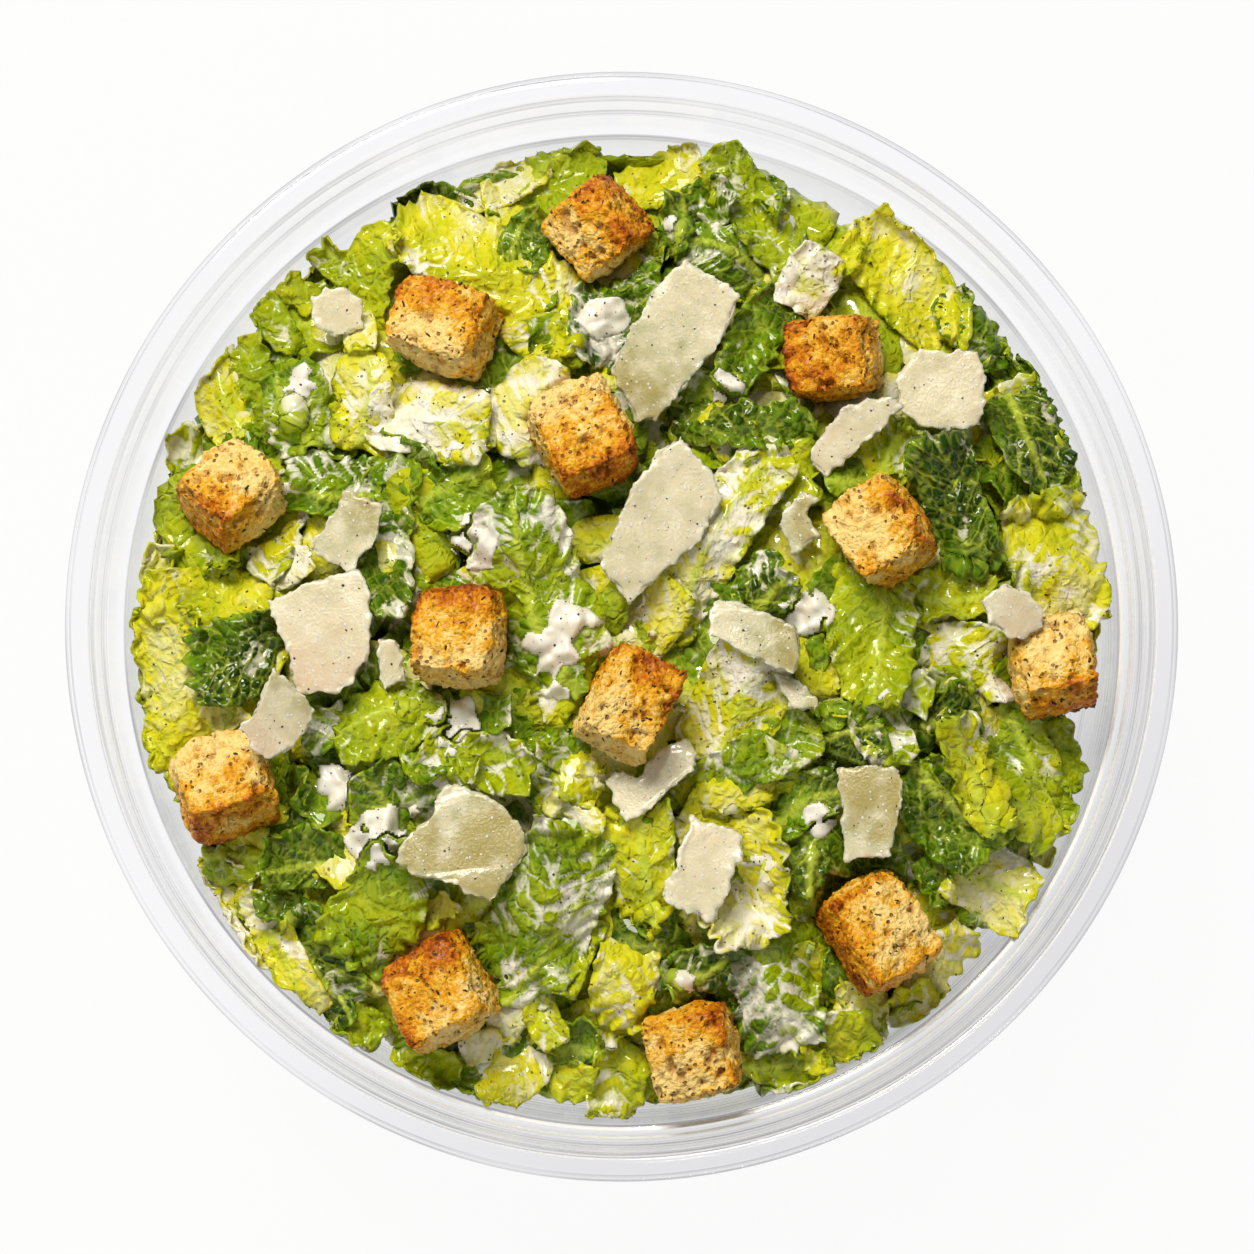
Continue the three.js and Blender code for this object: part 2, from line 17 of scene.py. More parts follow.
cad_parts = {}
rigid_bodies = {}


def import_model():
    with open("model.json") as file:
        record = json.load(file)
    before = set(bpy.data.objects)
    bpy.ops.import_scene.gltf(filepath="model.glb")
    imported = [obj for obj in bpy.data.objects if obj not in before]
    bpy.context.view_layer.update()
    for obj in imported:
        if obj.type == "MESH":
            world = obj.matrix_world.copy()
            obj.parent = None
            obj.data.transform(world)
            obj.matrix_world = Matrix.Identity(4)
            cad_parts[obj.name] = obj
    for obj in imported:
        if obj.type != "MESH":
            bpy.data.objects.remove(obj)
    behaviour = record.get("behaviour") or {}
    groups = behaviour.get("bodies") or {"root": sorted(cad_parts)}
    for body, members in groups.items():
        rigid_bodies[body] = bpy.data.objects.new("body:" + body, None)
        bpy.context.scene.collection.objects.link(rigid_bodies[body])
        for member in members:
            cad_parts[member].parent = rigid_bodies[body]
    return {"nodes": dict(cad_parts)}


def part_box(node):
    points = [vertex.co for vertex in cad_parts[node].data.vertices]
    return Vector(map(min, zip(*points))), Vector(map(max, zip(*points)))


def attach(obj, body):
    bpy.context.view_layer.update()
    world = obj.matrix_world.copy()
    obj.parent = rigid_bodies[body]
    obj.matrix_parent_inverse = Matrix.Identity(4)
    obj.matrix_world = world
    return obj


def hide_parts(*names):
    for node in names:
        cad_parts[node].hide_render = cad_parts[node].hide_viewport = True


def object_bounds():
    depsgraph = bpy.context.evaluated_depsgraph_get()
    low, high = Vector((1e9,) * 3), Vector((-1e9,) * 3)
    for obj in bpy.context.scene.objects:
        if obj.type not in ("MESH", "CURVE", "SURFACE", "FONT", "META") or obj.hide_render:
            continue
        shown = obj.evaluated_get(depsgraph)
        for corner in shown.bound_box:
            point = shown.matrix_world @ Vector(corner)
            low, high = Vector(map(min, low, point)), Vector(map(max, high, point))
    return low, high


bl_info = {
    "name": "Caesar salad in a clear bowl",
    "version": (1, 0, 0),
    "blender": (4, 5, 0),
    "location": "View3D > Sidebar > Salad",
    "description": "Builds a clear takeaway bowl with romaine, dressing, croutons and parmesan",
    "category": "Add Mesh",
}

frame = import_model()
CAD_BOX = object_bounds()

# ---------------------------------------------------------------- sizes that the frame is built on

MM = 0.001

# The bowl: its wall is an arc that turns by WALL_SWEEP from the base to a crease below the rim.
RIM_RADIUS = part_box("bowl")[1].x / MM
BOWL_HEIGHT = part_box("bowl")[1].z / MM
BASE_RADIUS = 52
WALL = 0.7
WALL_SWEEP = math.radians(70)
WALL_STEPS = 28
CREASE_RADIUS = 83.7
CREASE_HEIGHT = 47

# The heap is a dome that falls to its edge with this power of the distance from its middle.
HEAP_TOP = 59
HEAP_EDGE = 43
HEAP_RADIUS = 82
HEAP_POWER = 2.4

# How deep a leaf's buried end goes, its arch and frill as shares of its width, the turn from one
# scattered leaf to the next, and how much wider than their places the leaves are laid out.
LEAF_TUCK = 1.3
LEAF_ARCH = 0.08
LEAF_FRILL = 0.07
GOLDEN_ANGLE = 2.39996
SPREAD = 1.016

# ---------------------------------------------------------------- places on the heap

# Romaine pieces by kind: x, y, length, width, heading of the free tip in degrees and rise of the
# tip. Then, where they need it: how far the left side stands above the right one, and, where
# they differ from their kind, the share that dressing covers and the tone.
# Some tones stand in for light: the dark pieces at (-15, 64) and (53, -15) and the dim lime at (37,
# -58) lie in gaps beside croutons and leaves, and their darkness is painted shade; the lime pieces at
# (-57, 16) and (47.5, -62) have tones as light as a heart leaf where a crouton's shadow falls, which is
# painted light.
LEAVES = {
    "dark": [
        [-28, 68.5, 22, 9, 155, 2], [-15, 64, 10, 8, 60, 4.5], [12.5, 71, 11, 7, 35, 5, 1, 0.1],
        [23, 73, 11, 7, -30, 2], [17, 60.5, 16, 10, 160, 4, 0, 0.35], [9, 66.5, 11, 6, 80, 5, 0, 0.12],
        [-1, 52.5, 20, 12, 75, 6, 1, 0.48], [23, 47, 22, 9, 236, 5, -1], [58.5, 50, 15, 9, 120, 2],
        [66.5, 34, 23, 12, -65, 3, 1], [19, 34, 27, 8, -5, 5, 1],
        [55, 20, 23, 12, 110, 5, -2, 0.0, 0.02], [65, 26, 14, 10, -60, 2, 0, 0.2, 0.12],
        [22.5, 5, 12, 9, 40, 3, 0, 0.2], [-48, 23.5, 16, 10, 170, 4, 0, 0.45],
        [-38, 14, 27, 10, 265, 3, 0, 0.3, 0.12], [-62.5, -5, 17, 14, 200, 4, 1],
        [-55, -30, 14, 7, 90, 3], [-52, -39, 15, 9, 180, 4, 0, 0.1], [-56, -45, 9, 7, 200, 2],
        [-49, -55, 17, 10, 300, 3, 1], [-33, -72, 11, 6, 320, 2, 0, 0.3, 0.5],
        [-26, -75, 9, 6, 300, 1, 0, 0.2, 0.14], [-39, -29, 12, 10, 120, 4, 0, 0.15],
        [-20, -18.5, 11, 6, 0, 3, 0, 0.3], [-8, -21.5, 11, 7, 160, 3, 0, 0.15, 0.32],
        [36, -18.5, 14, 9, 10, 3, 0, 0.05, 0.04], [30, -30, 15, 8, 30, 4, 0, 0.08],
        [31, -40, 10, 7, 270, 4, 0, 0.0, 0.0], [7, -51, 9, 5, 120, 2],
        [12.5, -57, 11, 8, 20, 3, 0, 0.15], [54, -31, 20, 13, -45, 5, 2], [51, -42, 9, 6, -70, 2],
        [73.5, -21, 12, 6, -70, 1, 0, 0.2, 0.5], [53, -15, 12, 9, 20, 3, 0, 0.0, 0.0],
    ],
    "green": [
        [23, 69, 25, 10, 125, 4, 0, 0.35, 0.5], [15, 29.5, 14, 7, 0, 2],
        [71, 26, 13, 8, -70, 2, 0, 0.26, 0.42], [-53.5, 36, 16, 12, 110, 4, 1, 0.45],
        [-27, 21, 14, 11, 20, 3, 0, 0.1, 0.27], [-13, 5, 34, 18, 110, 5, -2, 0.45],
        [-13.5, -47, 30, 18, 65, 5, 2, 0.48], [20, -23.5, 24, 9, 28, 5, 1],
        [35, -15.5, 10, 4, 15, 4, 0, 0.0, 0.16], [32, -7, 9, 4, 90, 3],
        [-64, -47, 21, 8, 300, 1, 0, 0.6, 0.8], [-64, -39, 10, 6, 0, 1],
        [-43, -66, 9, 7, 220, 2, 0, 0.3, 0.55], [-8, -69, 9, 6, 0, 3, 0, 0.0, 0.08],
        [26, -60, 20, 15, 280, 4, 1, 0.56], [30.5, -67, 7, 5, 280, 3, 0, 0.08],
    ],
    "lime": [
        [-11, 75, 18, 10, 35, 3, 0, 0.05, 0.46], [33, 66, 18, 9, -30, 2], [-41.5, 58, 17, 9, 75, 3],
        [-48, 61, 8, 6, 140, 2], [-57.5, 50.5, 12, 6, 125, 2, 0, 0.0, 0.34],
        [-61.5, 43, 11, 6, 110, 2, 0, 0.0, 0.46], [-58.5, 34, 10, 8, 60, 3, 0, 0.15, 0.4],
        [44, 28, 14, 11, 60, 3], [41, -2, 24, 14, 270, 4, 1, 0.12, 0.42],
        [54, 5, 14, 9, 10, 3, 0, 0.26, 0.58], [-72, 28, 9, 6, 100, 2],
        [-74.5, 17, 11, 5, 95, 2, 0, 0.0, 0.36], [-57, 16, 17, 8, 80, 3.5, 0, 0.7, 0.8],
        [-1.5, 1.5, 10, 6, 70, 2], [-66, -14, 10, 7, -60, 3, 0, 0.1, 0.8],
        [-49, -17, 9, 7, 200, 2, 0, 0.6], [-38, -16, 18, 12, 200, 4, 1, 0.28, 0.48],
        [-30, -25, 14, 10, 60, 3, 0, 0.6], [-21, -24, 14, 9, -10, 4, 0, 0.4],
        [43, -18, 12, 9, -60, 4, 0, 0.5], [45, -10.5, 11, 6, -20, 3, 0, 0.58],
        [66, -25, 25, 14, -60, 4, -2], [-7, -54, 15, 6, 245, 3], [-1, -75, 15, 9, 260, 3],
        [-10, -74, 11, 8, -20, 2], [27, -72, 14, 8, -10, 2], [36, -69, 13, 10, 20, 3],
        [47.5, -62, 10, 5, 30, 3, 0, 0.3, 0.8], [37, -58, 12, 7, 90, 1, 0, 0.0, 0.2],
    ],
    "heart": [
        [-22, 58, 38, 16, 145, 4, 1, 0.34, 0.8], [47, 57, 26, 13, 130, 4, -1, 0.1],
        [16, 13, 38, 12, 57, 4, 1, 0.5], [73, 11, 24, 16, 285, 3, 1, 0.42, 0.85],
        [58, -6, 18, 11, -15, 4, 1, 0.5], [-69, 4.5, 23, 11, 175, 3, 0, 0.1, 0.72],
        [-75, -10, 27, 12, 95, 2, 0, 0.12, 0.76], [58.5, -25, 22, 8, 110, 5, 2],
        [-40.5, -47, 18, 14, 60, 4, 1, 0.1, 0.42], [3, -39.5, 19, 11, 95, 4],
        [19, -42, 23, 16, -75, 4, 1, 0.55, 0.85], [1.5, -58, 18, 10, 260, 4],
        [53, -56, 16, 8, 50, 2, 0, 0.3, 0.82],
    ],
    "pale": [
        [-19, 75, 16, 7, 20, 2, 0, 0.5], [6, 75.5, 15, 9, 20, 2, 0, 0.15, 0.78],
        [-66, 38.5, 16, 8, 105, 1], [-54, -57, 17, 8, 300, 3.5],
        [-7.5, -31.5, 11, 5, -25, 4, 0, 0.2, 0.84], [-18, -74, 12, 9, 230, 3, 0, 0.48],
        [-12, -65.5, 9, 6, -60, 3, 0, 0.15, 0.7], [61, -43, 16, 13, -30, 3, 0, 0.5],
        [30, -44.5, 8, 6, -80, 3, 0, 0.15, 0.35],
    ],
    "coated": [
        [31, 57.5, 12, 9, 60, 5], [-43.5, 48.5, 8, 6, -80, 4, 0, 0.45],
        [-43, 37.5, 15, 10, 90, 4, 0, 0.45], [-32, 33, 20, 13, -10, 5, 1, 0.85],
        [-15, 35, 17, 12, 70, 4], [18, -14, 20, 15, 60, 4, 1], [-33, -14, 8, 6, 0, 4, 0, 0.3, 0.5],
        [-22, -14.5, 7, 6, 0, 3, 0, 0.2, 0.2],
    ],
}

# Small scraps that lie between the pieces above, in the same terms.
SCRAPS = {
    "dark": [[9, -62, 8, 5, 0, 1], [17, -60, 7, 5, -30, 1], [-48, -62, 10, 6, 300, 2]],
    "lime": [
        [-9.5, 44, 7, 5, 20, 3], [-54, 56, 7, 5, 140, 2], [-69, 11, 12, 4, 5, 2], [40, -67, 7, 5, 0, 1],
    ],
    "heart": [[-14, -28, 9, 4, -45, 2], [-5.5, -26.5, 7, 5, 60, 4], [-31, -47, 7, 5, 20, 2]],
    "pale": [
        [-77, 10, 8, 4, 80, 1], [-18, -64, 9, 6, 240, 1], [-23, -69, 7, 5, 200, 1],
        [68, -37, 8, 4, -20, 1], [34.5, -13, 6, 3, -20, 3], [38, -61.5, 6, 5, 0, 1],
    ],
    "coated": [[-54.5, 9.5, 9, 6, 20, 3]],
}

# Each leaf's number sets its own torn edge, folds and blisters. These are the first of each sort.
SCRAP_SEED = 200
TUCKED_SEED = 400
WALL_SEED = 700

# How each kind of leaf is made: its tone from dark green, 0, to white rib, 1; how crumpled it is;
# the width and height of its blisters; the ruffle and the teeth of its edge; how often it has a
# rib; and the share that dressing covers.
Look = collections.namedtuple("Look", "tone crumple blister swell ruffle tooth ribbed film")
KINDS = {
    "dark": Look(0.08, 1.6, 2.5, 0.8, 0.9, 0.8, 0.4, 0.08),
    "green": Look(0.3, 1.6, 2.7, 0.75, 0.8, 0.8, 0.45, 0.26),
    "lime": Look(0.52, 1.5, 2.9, 0.6, 0.8, 0.8, 0.4, 0.18),
    "heart": Look(0.74, 1.4, 2.8, 0.55, 0.9, 0.8, 0.3, 0.24),
    "pale": Look(0.9, 1.0, 3.4, 0.3, 0.4, 0.6, 0.5, 0.34),
    "coated": Look(0.8, 1.0, 3.8, 0.35, 0.35, 0.6, 0.2, 0.6),
}
SHOWN_LEAVES = ["romaine_" + kind for kind in KINDS]

# Dollops of dressing: x, y and diameter.
DOLLOPS = [
    [-54, 42.5, 5], [8, 67.5, 3], [-3, 52, 5], [17, 39, 5], [31, 2, 7], [-8, 1, 6], [-12, -6.5, 7],
    [-24, 13, 6], [-39.7, -35, 7], [-27, -16.5, 7], [-48, -26, 6], [32.5, -33, 4], [10, -59, 3],
]

# Where each crouton is browned most, in degrees about the upright axis, and how brown it is.
BROWN_SIDES = [
    (45, 0.58), (60, 0.5), (300, 0.52), (180, 0.7), (225, 0.46), (100, 0.58), (45, 0.5),
    (0, 0.48), (315, 0.46), (270, 0.5), (135, 0.62), (200, 0.6), (30, 0.42),
]

# Each shaving's share of green shadow, and the way it grows in degrees; then the same for pink.
SHAVING_TINTS = [
    (0.5, 250, 0.0, 90), (0.2, 240, 0.1, 60), (0.6, 90, 0.0, 0), (0.5, 60, 0.35, 235),
    (0.95, 300, 0.0, 0), (0.1, 270, 0.2, 90), (0.95, 90, 0.1, 270), (0.55, 0, 0.1, 180),
    (0.5, 0, 0.1, 180), (0.1, 0, 0.35, 270), (0.1, 270, 0.1, 90), (0.3, 0, 0.1, 90),
    (0.1, 90, 0.35, 270), (1.0, 0, 0.0, 0), (0.2, 0, 0.2, 0), (0.3, 0, 0.25, 180), (0.3, 0, 0.2, 90),
]

CROUTONS = sorted(n for n in frame["nodes"] if n.startswith("crouton"))
SHAVINGS = sorted(n for n in frame["nodes"] if n.startswith("parmesan"))

# ---------------------------------------------------------------- noise

# Whole numbers times these, kept to 32 bits, mix into numbers that look random.
HASH_FACTORS = (374761393, 668265263, 1440662683, 1274126177)
LOW_BITS = 0xFFFFFFFF


def hashed(cell, seed):
    """Repeatable numbers from 0 to 1 for whole-number cells (..., 3)."""
    numbers = (cell[..., 0], cell[..., 1], cell[..., 2], seed)
    mixed = sum(number * factor for number, factor in zip(numbers, HASH_FACTORS)) & LOW_BITS
    mixed = ((mixed ^ (mixed >> 13)) * HASH_FACTORS[3]) & LOW_BITS
    return (mixed ^ (mixed >> 16)) / LOW_BITS


def draw(seed, row):
    """One repeatable number from 0 to 1: a seed for each leaf, and a row for each of its uses."""
    return float(hashed(np.array((seed, row, 5)), 11))


def chosen(names, share):
    """The name that lies a share, from 0 to 1, of the way along."""
    return names[int(len(names) * share)]


def place3(a, b, c=0.0):
    """Three coordinates, each an array or a number, as one array of points."""
    return np.stack(np.broadcast_arrays(a, b, c), -1).astype(float)


def noise(points, size, seed=0, octaves=1):
    """Smooth noise from -1 to 1. Its widest bumps have the size, and the seed tells it from others."""
    total, weights = 0.0, 0.0
    for octave in range(octaves):
        scaled = points * (2**octave / size)
        cell = np.floor(scaled).astype(np.int64)
        part = scaled - cell
        part = part * part * (3 - 2 * part)
        value = 0.0
        for corner in itertools.product((0, 1), repeat=3):
            share = np.prod(np.where(corner, part, 1 - part), axis=-1)
            value = value + share * hashed(cell + corner, seed + octave)
        total = total + value * 0.5**octave
        weights += 0.5**octave
    return 2 * total / weights - 1


def cells(points, size, seed=0):
    """Distances to the nearest and second nearest of scattered points, in cell widths."""
    scaled = points / size
    cell = np.floor(scaled).astype(np.int64)
    near = np.full(scaled.shape[:-1], 9.0)
    second = near.copy()
    for step in itertools.product((-1, 0, 1), repeat=3):
        at = cell + step
        spot = [at[..., k] + 0.1 + 0.8 * hashed(at, seed + 7 * k) for k in range(3)]
        away = np.sqrt(sum((scaled[..., k] - spot[k]) ** 2 for k in range(3)))
        second = np.minimum(second, np.maximum(near, away))
        near = np.minimum(near, away)
    return near, second


def smooth_step(value, low, high):
    share = np.clip((value - low) / (high - low), 0, 1)
    return share * share * (3 - 2 * share)


# ---------------------------------------------------------------- meshes


def read(items, name, width=3):
    """One property of all of a mesh's items, a row for each."""
    values = np.empty(len(items) * width, np.float32 if name in ("co", "vector") else np.int32)
    items.foreach_get(name, values)
    return values.reshape(-1, width)


def set_points(mesh, points):
    """Moves a mesh's points to these places in millimetres."""
    mesh.vertices.foreach_set("co", (np.asarray(points) * MM).astype(np.float32).ravel())


def make_object(name, points, faces, finish, layers=None):
    """A smooth mesh object from points in millimetres and arrays of faces, on the root body."""
    mesh = bpy.data.meshes.new(name)
    mesh.vertices.add(len(points))
    set_points(mesh, points)
    corners = np.concatenate([face.ravel() for face in faces]).astype(np.int32)
    sizes = np.concatenate([np.full(len(face), face.shape[1]) for face in faces])
    mesh.loops.add(len(corners))
    mesh.loops.foreach_set("vertex_index", corners)
    mesh.polygons.add(len(sizes))
    mesh.polygons.foreach_set("loop_start", (np.cumsum(sizes) - sizes).astype(np.int32))
    mesh.update(calc_edges=True)
    return place_object(name, mesh, finish, layers)


def place_object(name, mesh, finish, layers=None):
    """Puts a mesh on the root body, smooth, with its finish and the layers that the finish reads."""
    mesh.shade_smooth()
    for layer, values in (layers or {}).items():
        vector = np.ndim(values) > 1
        made = mesh.attributes.new(layer, "FLOAT_VECTOR" if vector else "FLOAT", "POINT")
        made.data.foreach_set("vector" if vector else "value", np.asarray(values, np.float32).ravel())
    thing = bpy.data.objects.new(name, mesh)
    bpy.context.scene.collection.objects.link(thing)
    mesh.materials.clear()
    mesh.materials.append(finish)
    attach(thing, "root")
    return thing


def dress(thing, slot, *nodes):
    """Hides the frame nodes that the piece stands for; the slot is not used."""
    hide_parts(*nodes)


class Batch:
    """Many small closed meshes that become one object."""

    def __init__(self):
        self.points, self.faces, self.layers, self.count = [], [], {}, 0

    def add(self, points, faces, layers=None):
        self.points.append(points)
        self.faces += [face + self.count for face in faces]
        self.count += len(points)
        for name, values in (layers or {}).items():
            self.layers.setdefault(name, []).append(values)

    def make(self, name, finish):
        if not self.count:
            raise RuntimeError(f"{name} has no pieces")
        layers = {layer: np.concatenate(values) for layer, values in self.layers.items()}
        widths = sorted({face.shape[1] for face in self.faces})
        faces = [np.concatenate([face for face in self.faces if face.shape[1] == w]) for w in widths]
        return make_object(name, np.concatenate(self.points), faces, finish, layers)


def thickened(top, normals, thickness):
    """A closed sheet under a grid of points (rows, columns, 3): its points and faces."""
    rows, columns = top.shape[:2]
    count = rows * columns
    points = np.concatenate([top.reshape(-1, 3), (top - normals * thickness).reshape(-1, 3)])
    index = np.arange(count).reshape(rows, columns)
    upper = np.stack([index[:-1, :-1], index[1:, :-1], index[1:, 1:], index[:-1, 1:]], -1)
    upper = upper.reshape(-1, 4)
    rim = np.concatenate([index[:-1, 0], index[-1, :-1], index[:0:-1, -1], index[0, :0:-1]])
    after = np.roll(rim, -1)
    walls = np.stack([rim, rim + count, after + count, after], -1)
    return points, [upper, upper[:, ::-1] + count, walls]


def grid_normals(points):
    """Unit normals of a grid of points."""
    normal = np.cross(np.gradient(points, axis=0), np.gradient(points, axis=1))
    return normal / np.maximum(np.linalg.norm(normal, axis=-1, keepdims=True), 1e-9)


def with_neighbours(grid, weight, mode="constant"):
    """Each spot's value times a weight, plus those of the four spots beside it."""
    g = np.pad(grid, 1, mode=mode)
    return weight * g[1:-1, 1:-1] + g[:-2, 1:-1] + g[2:, 1:-1] + g[1:-1, :-2] + g[1:-1, 2:]


def turned(profile, sides):
    """A profile of radii and heights, both ends on the axis, turned about it."""
    profile = np.asarray(profile, float)
    turn = np.linspace(0, 2 * np.pi, sides, endpoint=False)
    radii, heights = profile[1:-1, :1], profile[1:-1, 1:]
    rings = place3(radii * np.cos(turn), radii * np.sin(turn), heights + 0 * turn).reshape(-1, 3)
    points = np.vstack([[0, 0, profile[0, 1]], rings, [0, 0, profile[-1, 1]]])
    index = 1 + np.arange(len(rings)).reshape(-1, sides)
    across = np.roll(index, -1, axis=1)
    quads = np.stack([index[:-1], index[1:], across[1:], across[:-1]], -1).reshape(-1, 4)
    first_fan = np.stack([np.zeros(sides, int), index[0], across[0]], -1)
    last_fan = np.stack([index[-1], np.full(sides, len(points) - 1), across[-1]], -1)
    return points, [quads, np.concatenate([first_fan, last_fan])]


def tree_of(thing):
    """A search tree over an object's mesh, in millimetres."""
    mesh = thing.data
    mesh.calc_loop_triangles()
    points = read(mesh.vertices, "co") / MM
    return BVHTree.FromPolygons(points.tolist(), read(mesh.loop_triangles, "vertices").tolist())


# ---------------------------------------------------------------- finishes


def maths(operation, swapped=False):
    """A method that adds a Math node to a value, which comes second where it is swapped."""

    def method(self, *others):
        values = (*others, self) if swapped else (self, *others)
        return self.finish.node("ShaderNodeMath", {"operation": operation}, dict(enumerate(values)))

    return method


class Value:
    """A shader socket that takes part in Python arithmetic."""

    def __init__(self, finish, socket):
        self.finish, self.socket = finish, socket

    def other(self, output):
        """Another output of the same node."""
        return Value(self.finish, self.socket.node.outputs[output])

    __add__, __radd__ = maths("ADD"), maths("ADD", swapped=True)
    __sub__, __rsub__ = maths("SUBTRACT"), maths("SUBTRACT", swapped=True)
    __mul__, __rmul__ = maths("MULTIPLY"), maths("MULTIPLY", swapped=True)
    __truediv__ = maths("DIVIDE")
    __pow__ = maths("POWER")
    __mod__ = maths("FLOORED_MODULO")
    __abs__ = maths("ABSOLUTE")
    at_least = maths("MAXIMUM")


class Finish:
    """One procedural material, or the nodes of another owner such as the world."""

    def __init__(self, name="", owner=None):
        self.material = owner or bpy.data.materials.new(name)
        self.material.use_nodes = True
        self.tree = self.material.node_tree
        self.tree.nodes.clear()

    def node(self, kind, settings=None, inputs=None, output=None):
        """Adds a node: its settings first, then its sockets' values or links."""
        node = self.tree.nodes.new(kind)
        for key, value in (settings or {}).items():
            if key == "stops":
                self.set_stops(node.color_ramp, value)
            else:
                setattr(node, key, value)
        for key, value in (inputs or {}).items():
            named = [s for s in node.inputs if s.name == key and s.enabled]
            socket = node.inputs[key] if isinstance(key, int) else named[0]
            if isinstance(value, Value):
                self.tree.links.new(value.socket, socket)
            else:
                socket.default_value = value
        outputs = [s for s in node.outputs if s.enabled and output in (None, s.name)]
        return Value(self, outputs[0]) if outputs else node

    @staticmethod
    def set_stops(ramp, stops):
        while len(ramp.elements) < len(stops):
            ramp.elements.new(1.0)
        for element, (position, colour) in zip(ramp.elements, stops):
            element.position = position
            element.color = colour

    def layer(self, name, output="Fac"):
        return self.node("ShaderNodeAttribute", {"attribute_name": name}, output=output)

    def object_mm(self):
        """The place on the object, in millimetres."""
        place = self.node("ShaderNodeTexCoord", output="Object")
        inputs = {"Vector": place, "Scale": 1 / MM}
        return self.node("ShaderNodeVectorMath", {"operation": "SCALE"}, inputs)

    def grain(self, place, size, detail=2.0):
        """Noise from 0 to 1 with bumps of a size in millimetres."""
        inputs = {"Vector": place, "Scale": 1 / size, "Detail": detail}
        return self.node("ShaderNodeTexNoise", None, inputs, "Fac")

    def pebbles(self, place, size, feature="F1"):
        """How far each place is from scattered points, or from the edges between their cells."""
        inputs = {"Vector": place, "Scale": 1 / size}
        return self.node("ShaderNodeTexVoronoi", {"feature": feature}, inputs, "Distance")

    def band(self, value, low, high, start=0.0, end=1.0):
        """A smooth step from start to end as the value goes from low to high."""
        return self.node(
            "ShaderNodeMapRange",
            {"interpolation_type": "SMOOTHSTEP"},
            {"Value": value, "From Min": low, "From Max": high, "To Min": start, "To Max": end},
        )

    def flecks(self, place, size, radius, share):
        """Scattered round dots: 1 on a dot and 0 off it."""
        dots = self.pebbles(place, size)
        on_dot = self.band(dots, radius, 0.6 * radius)
        return on_dot * self.band(dots.other("Color") * 1.0, 1 - share, 1.02 - share)

    def blend(self, first, second, factor):
        inputs = {"Factor": factor, "A": first, "B": second}
        return self.node("ShaderNodeMix", {"data_type": "RGBA"}, inputs)

    def ramp(self, value, stops):
        return self.node("ShaderNodeValToRGB", {"stops": stops}, {"Fac": value}, "Color")

    def bump(self, height, strength, distance=0.3):
        """A normal from a height whose unit is the given distance in millimetres."""
        inputs = {"Strength": strength, "Distance": distance * MM, "Height": height}
        return self.node("ShaderNodeBump", None, inputs)

    def mixed(self, factor, first, second):
        """Two shaders in one."""
        return self.node("ShaderNodeMixShader", None, {0: factor, 1: first, 2: second})

    def done(self, shader):
        self.node("ShaderNodeOutputMaterial", None, {"Surface": shader})
        return self.material

    def solid(self, inputs):
        """Ends the material as a solid surface with these values and links."""
        return self.done(self.node("ShaderNodeBsdfPrincipled", None, inputs))


def srgb(red, green, blue):
    """A colour as it looks on a screen, from 0 to 255, in the linear terms of a shader."""
    parts = [c / 255 for c in (red, green, blue)]
    return tuple(c / 12.92 if c <= 0.04045 else ((c + 0.055) / 1.055) ** 2.4 for c in parts) + (1.0,)


def four(colour):
    return tuple(colour)[:3] + (1.0,)


# ---------------------------------------------------------------- what a user would change


def length(name, description, default, low, high):
    return bpy.props.FloatProperty(
        name=name, description=description, default=default * MM, min=low * MM, max=high * MM,
        unit="LENGTH", subtype="DISTANCE", precision=5,
    )


def number_of(name, description, default, high):
    return bpy.props.IntProperty(name=name, description=description, default=default, min=0, max=high)


def colour(name, description, default):
    return bpy.props.FloatVectorProperty(
        name=name, description=description, default=default, size=4, min=0, max=1, subtype="COLOR"
    )


class SaladSizes(bpy.types.PropertyGroup):
    leaf_step: length("Leaf mesh step", "Distance between the points of a shown leaf", 0.42, 0.3, 3)
    hidden_step: length(
        "Hidden leaf step", "Distance between the points of a leaf behind the clear wall", 1.35, 0.5, 4
    )
    leaf_thickness: length("Leaf thickness", "Thickness of a romaine leaf", 0.38, 0.2, 1)
    crouton_voxel: length("Crouton mesh step", "Distance between the points of a crouton", 0.5, 0.3, 2)
    shaving_voxel: length("Shaving mesh step", "Distance between the points of a shaving", 0.4, 0.25, 2)
    dressing_step: length("Dressing step", "Distance between the points of the dressing", 0.32, 0.2, 2)
    pepper_size: length("Pepper size", "Width of a usual grain of pepper", 0.42, 0.1, 1)
    pepper_count: number_of("Pepper grains", "How many grains lie on the salad", 900, 5000)
    filler_count: number_of("Tucked leaves", "How many leaves lie under the ones that show", 190, 400)
    wall_count: number_of("Wall leaves", "How many leaves press against the clear wall", 155, 400)


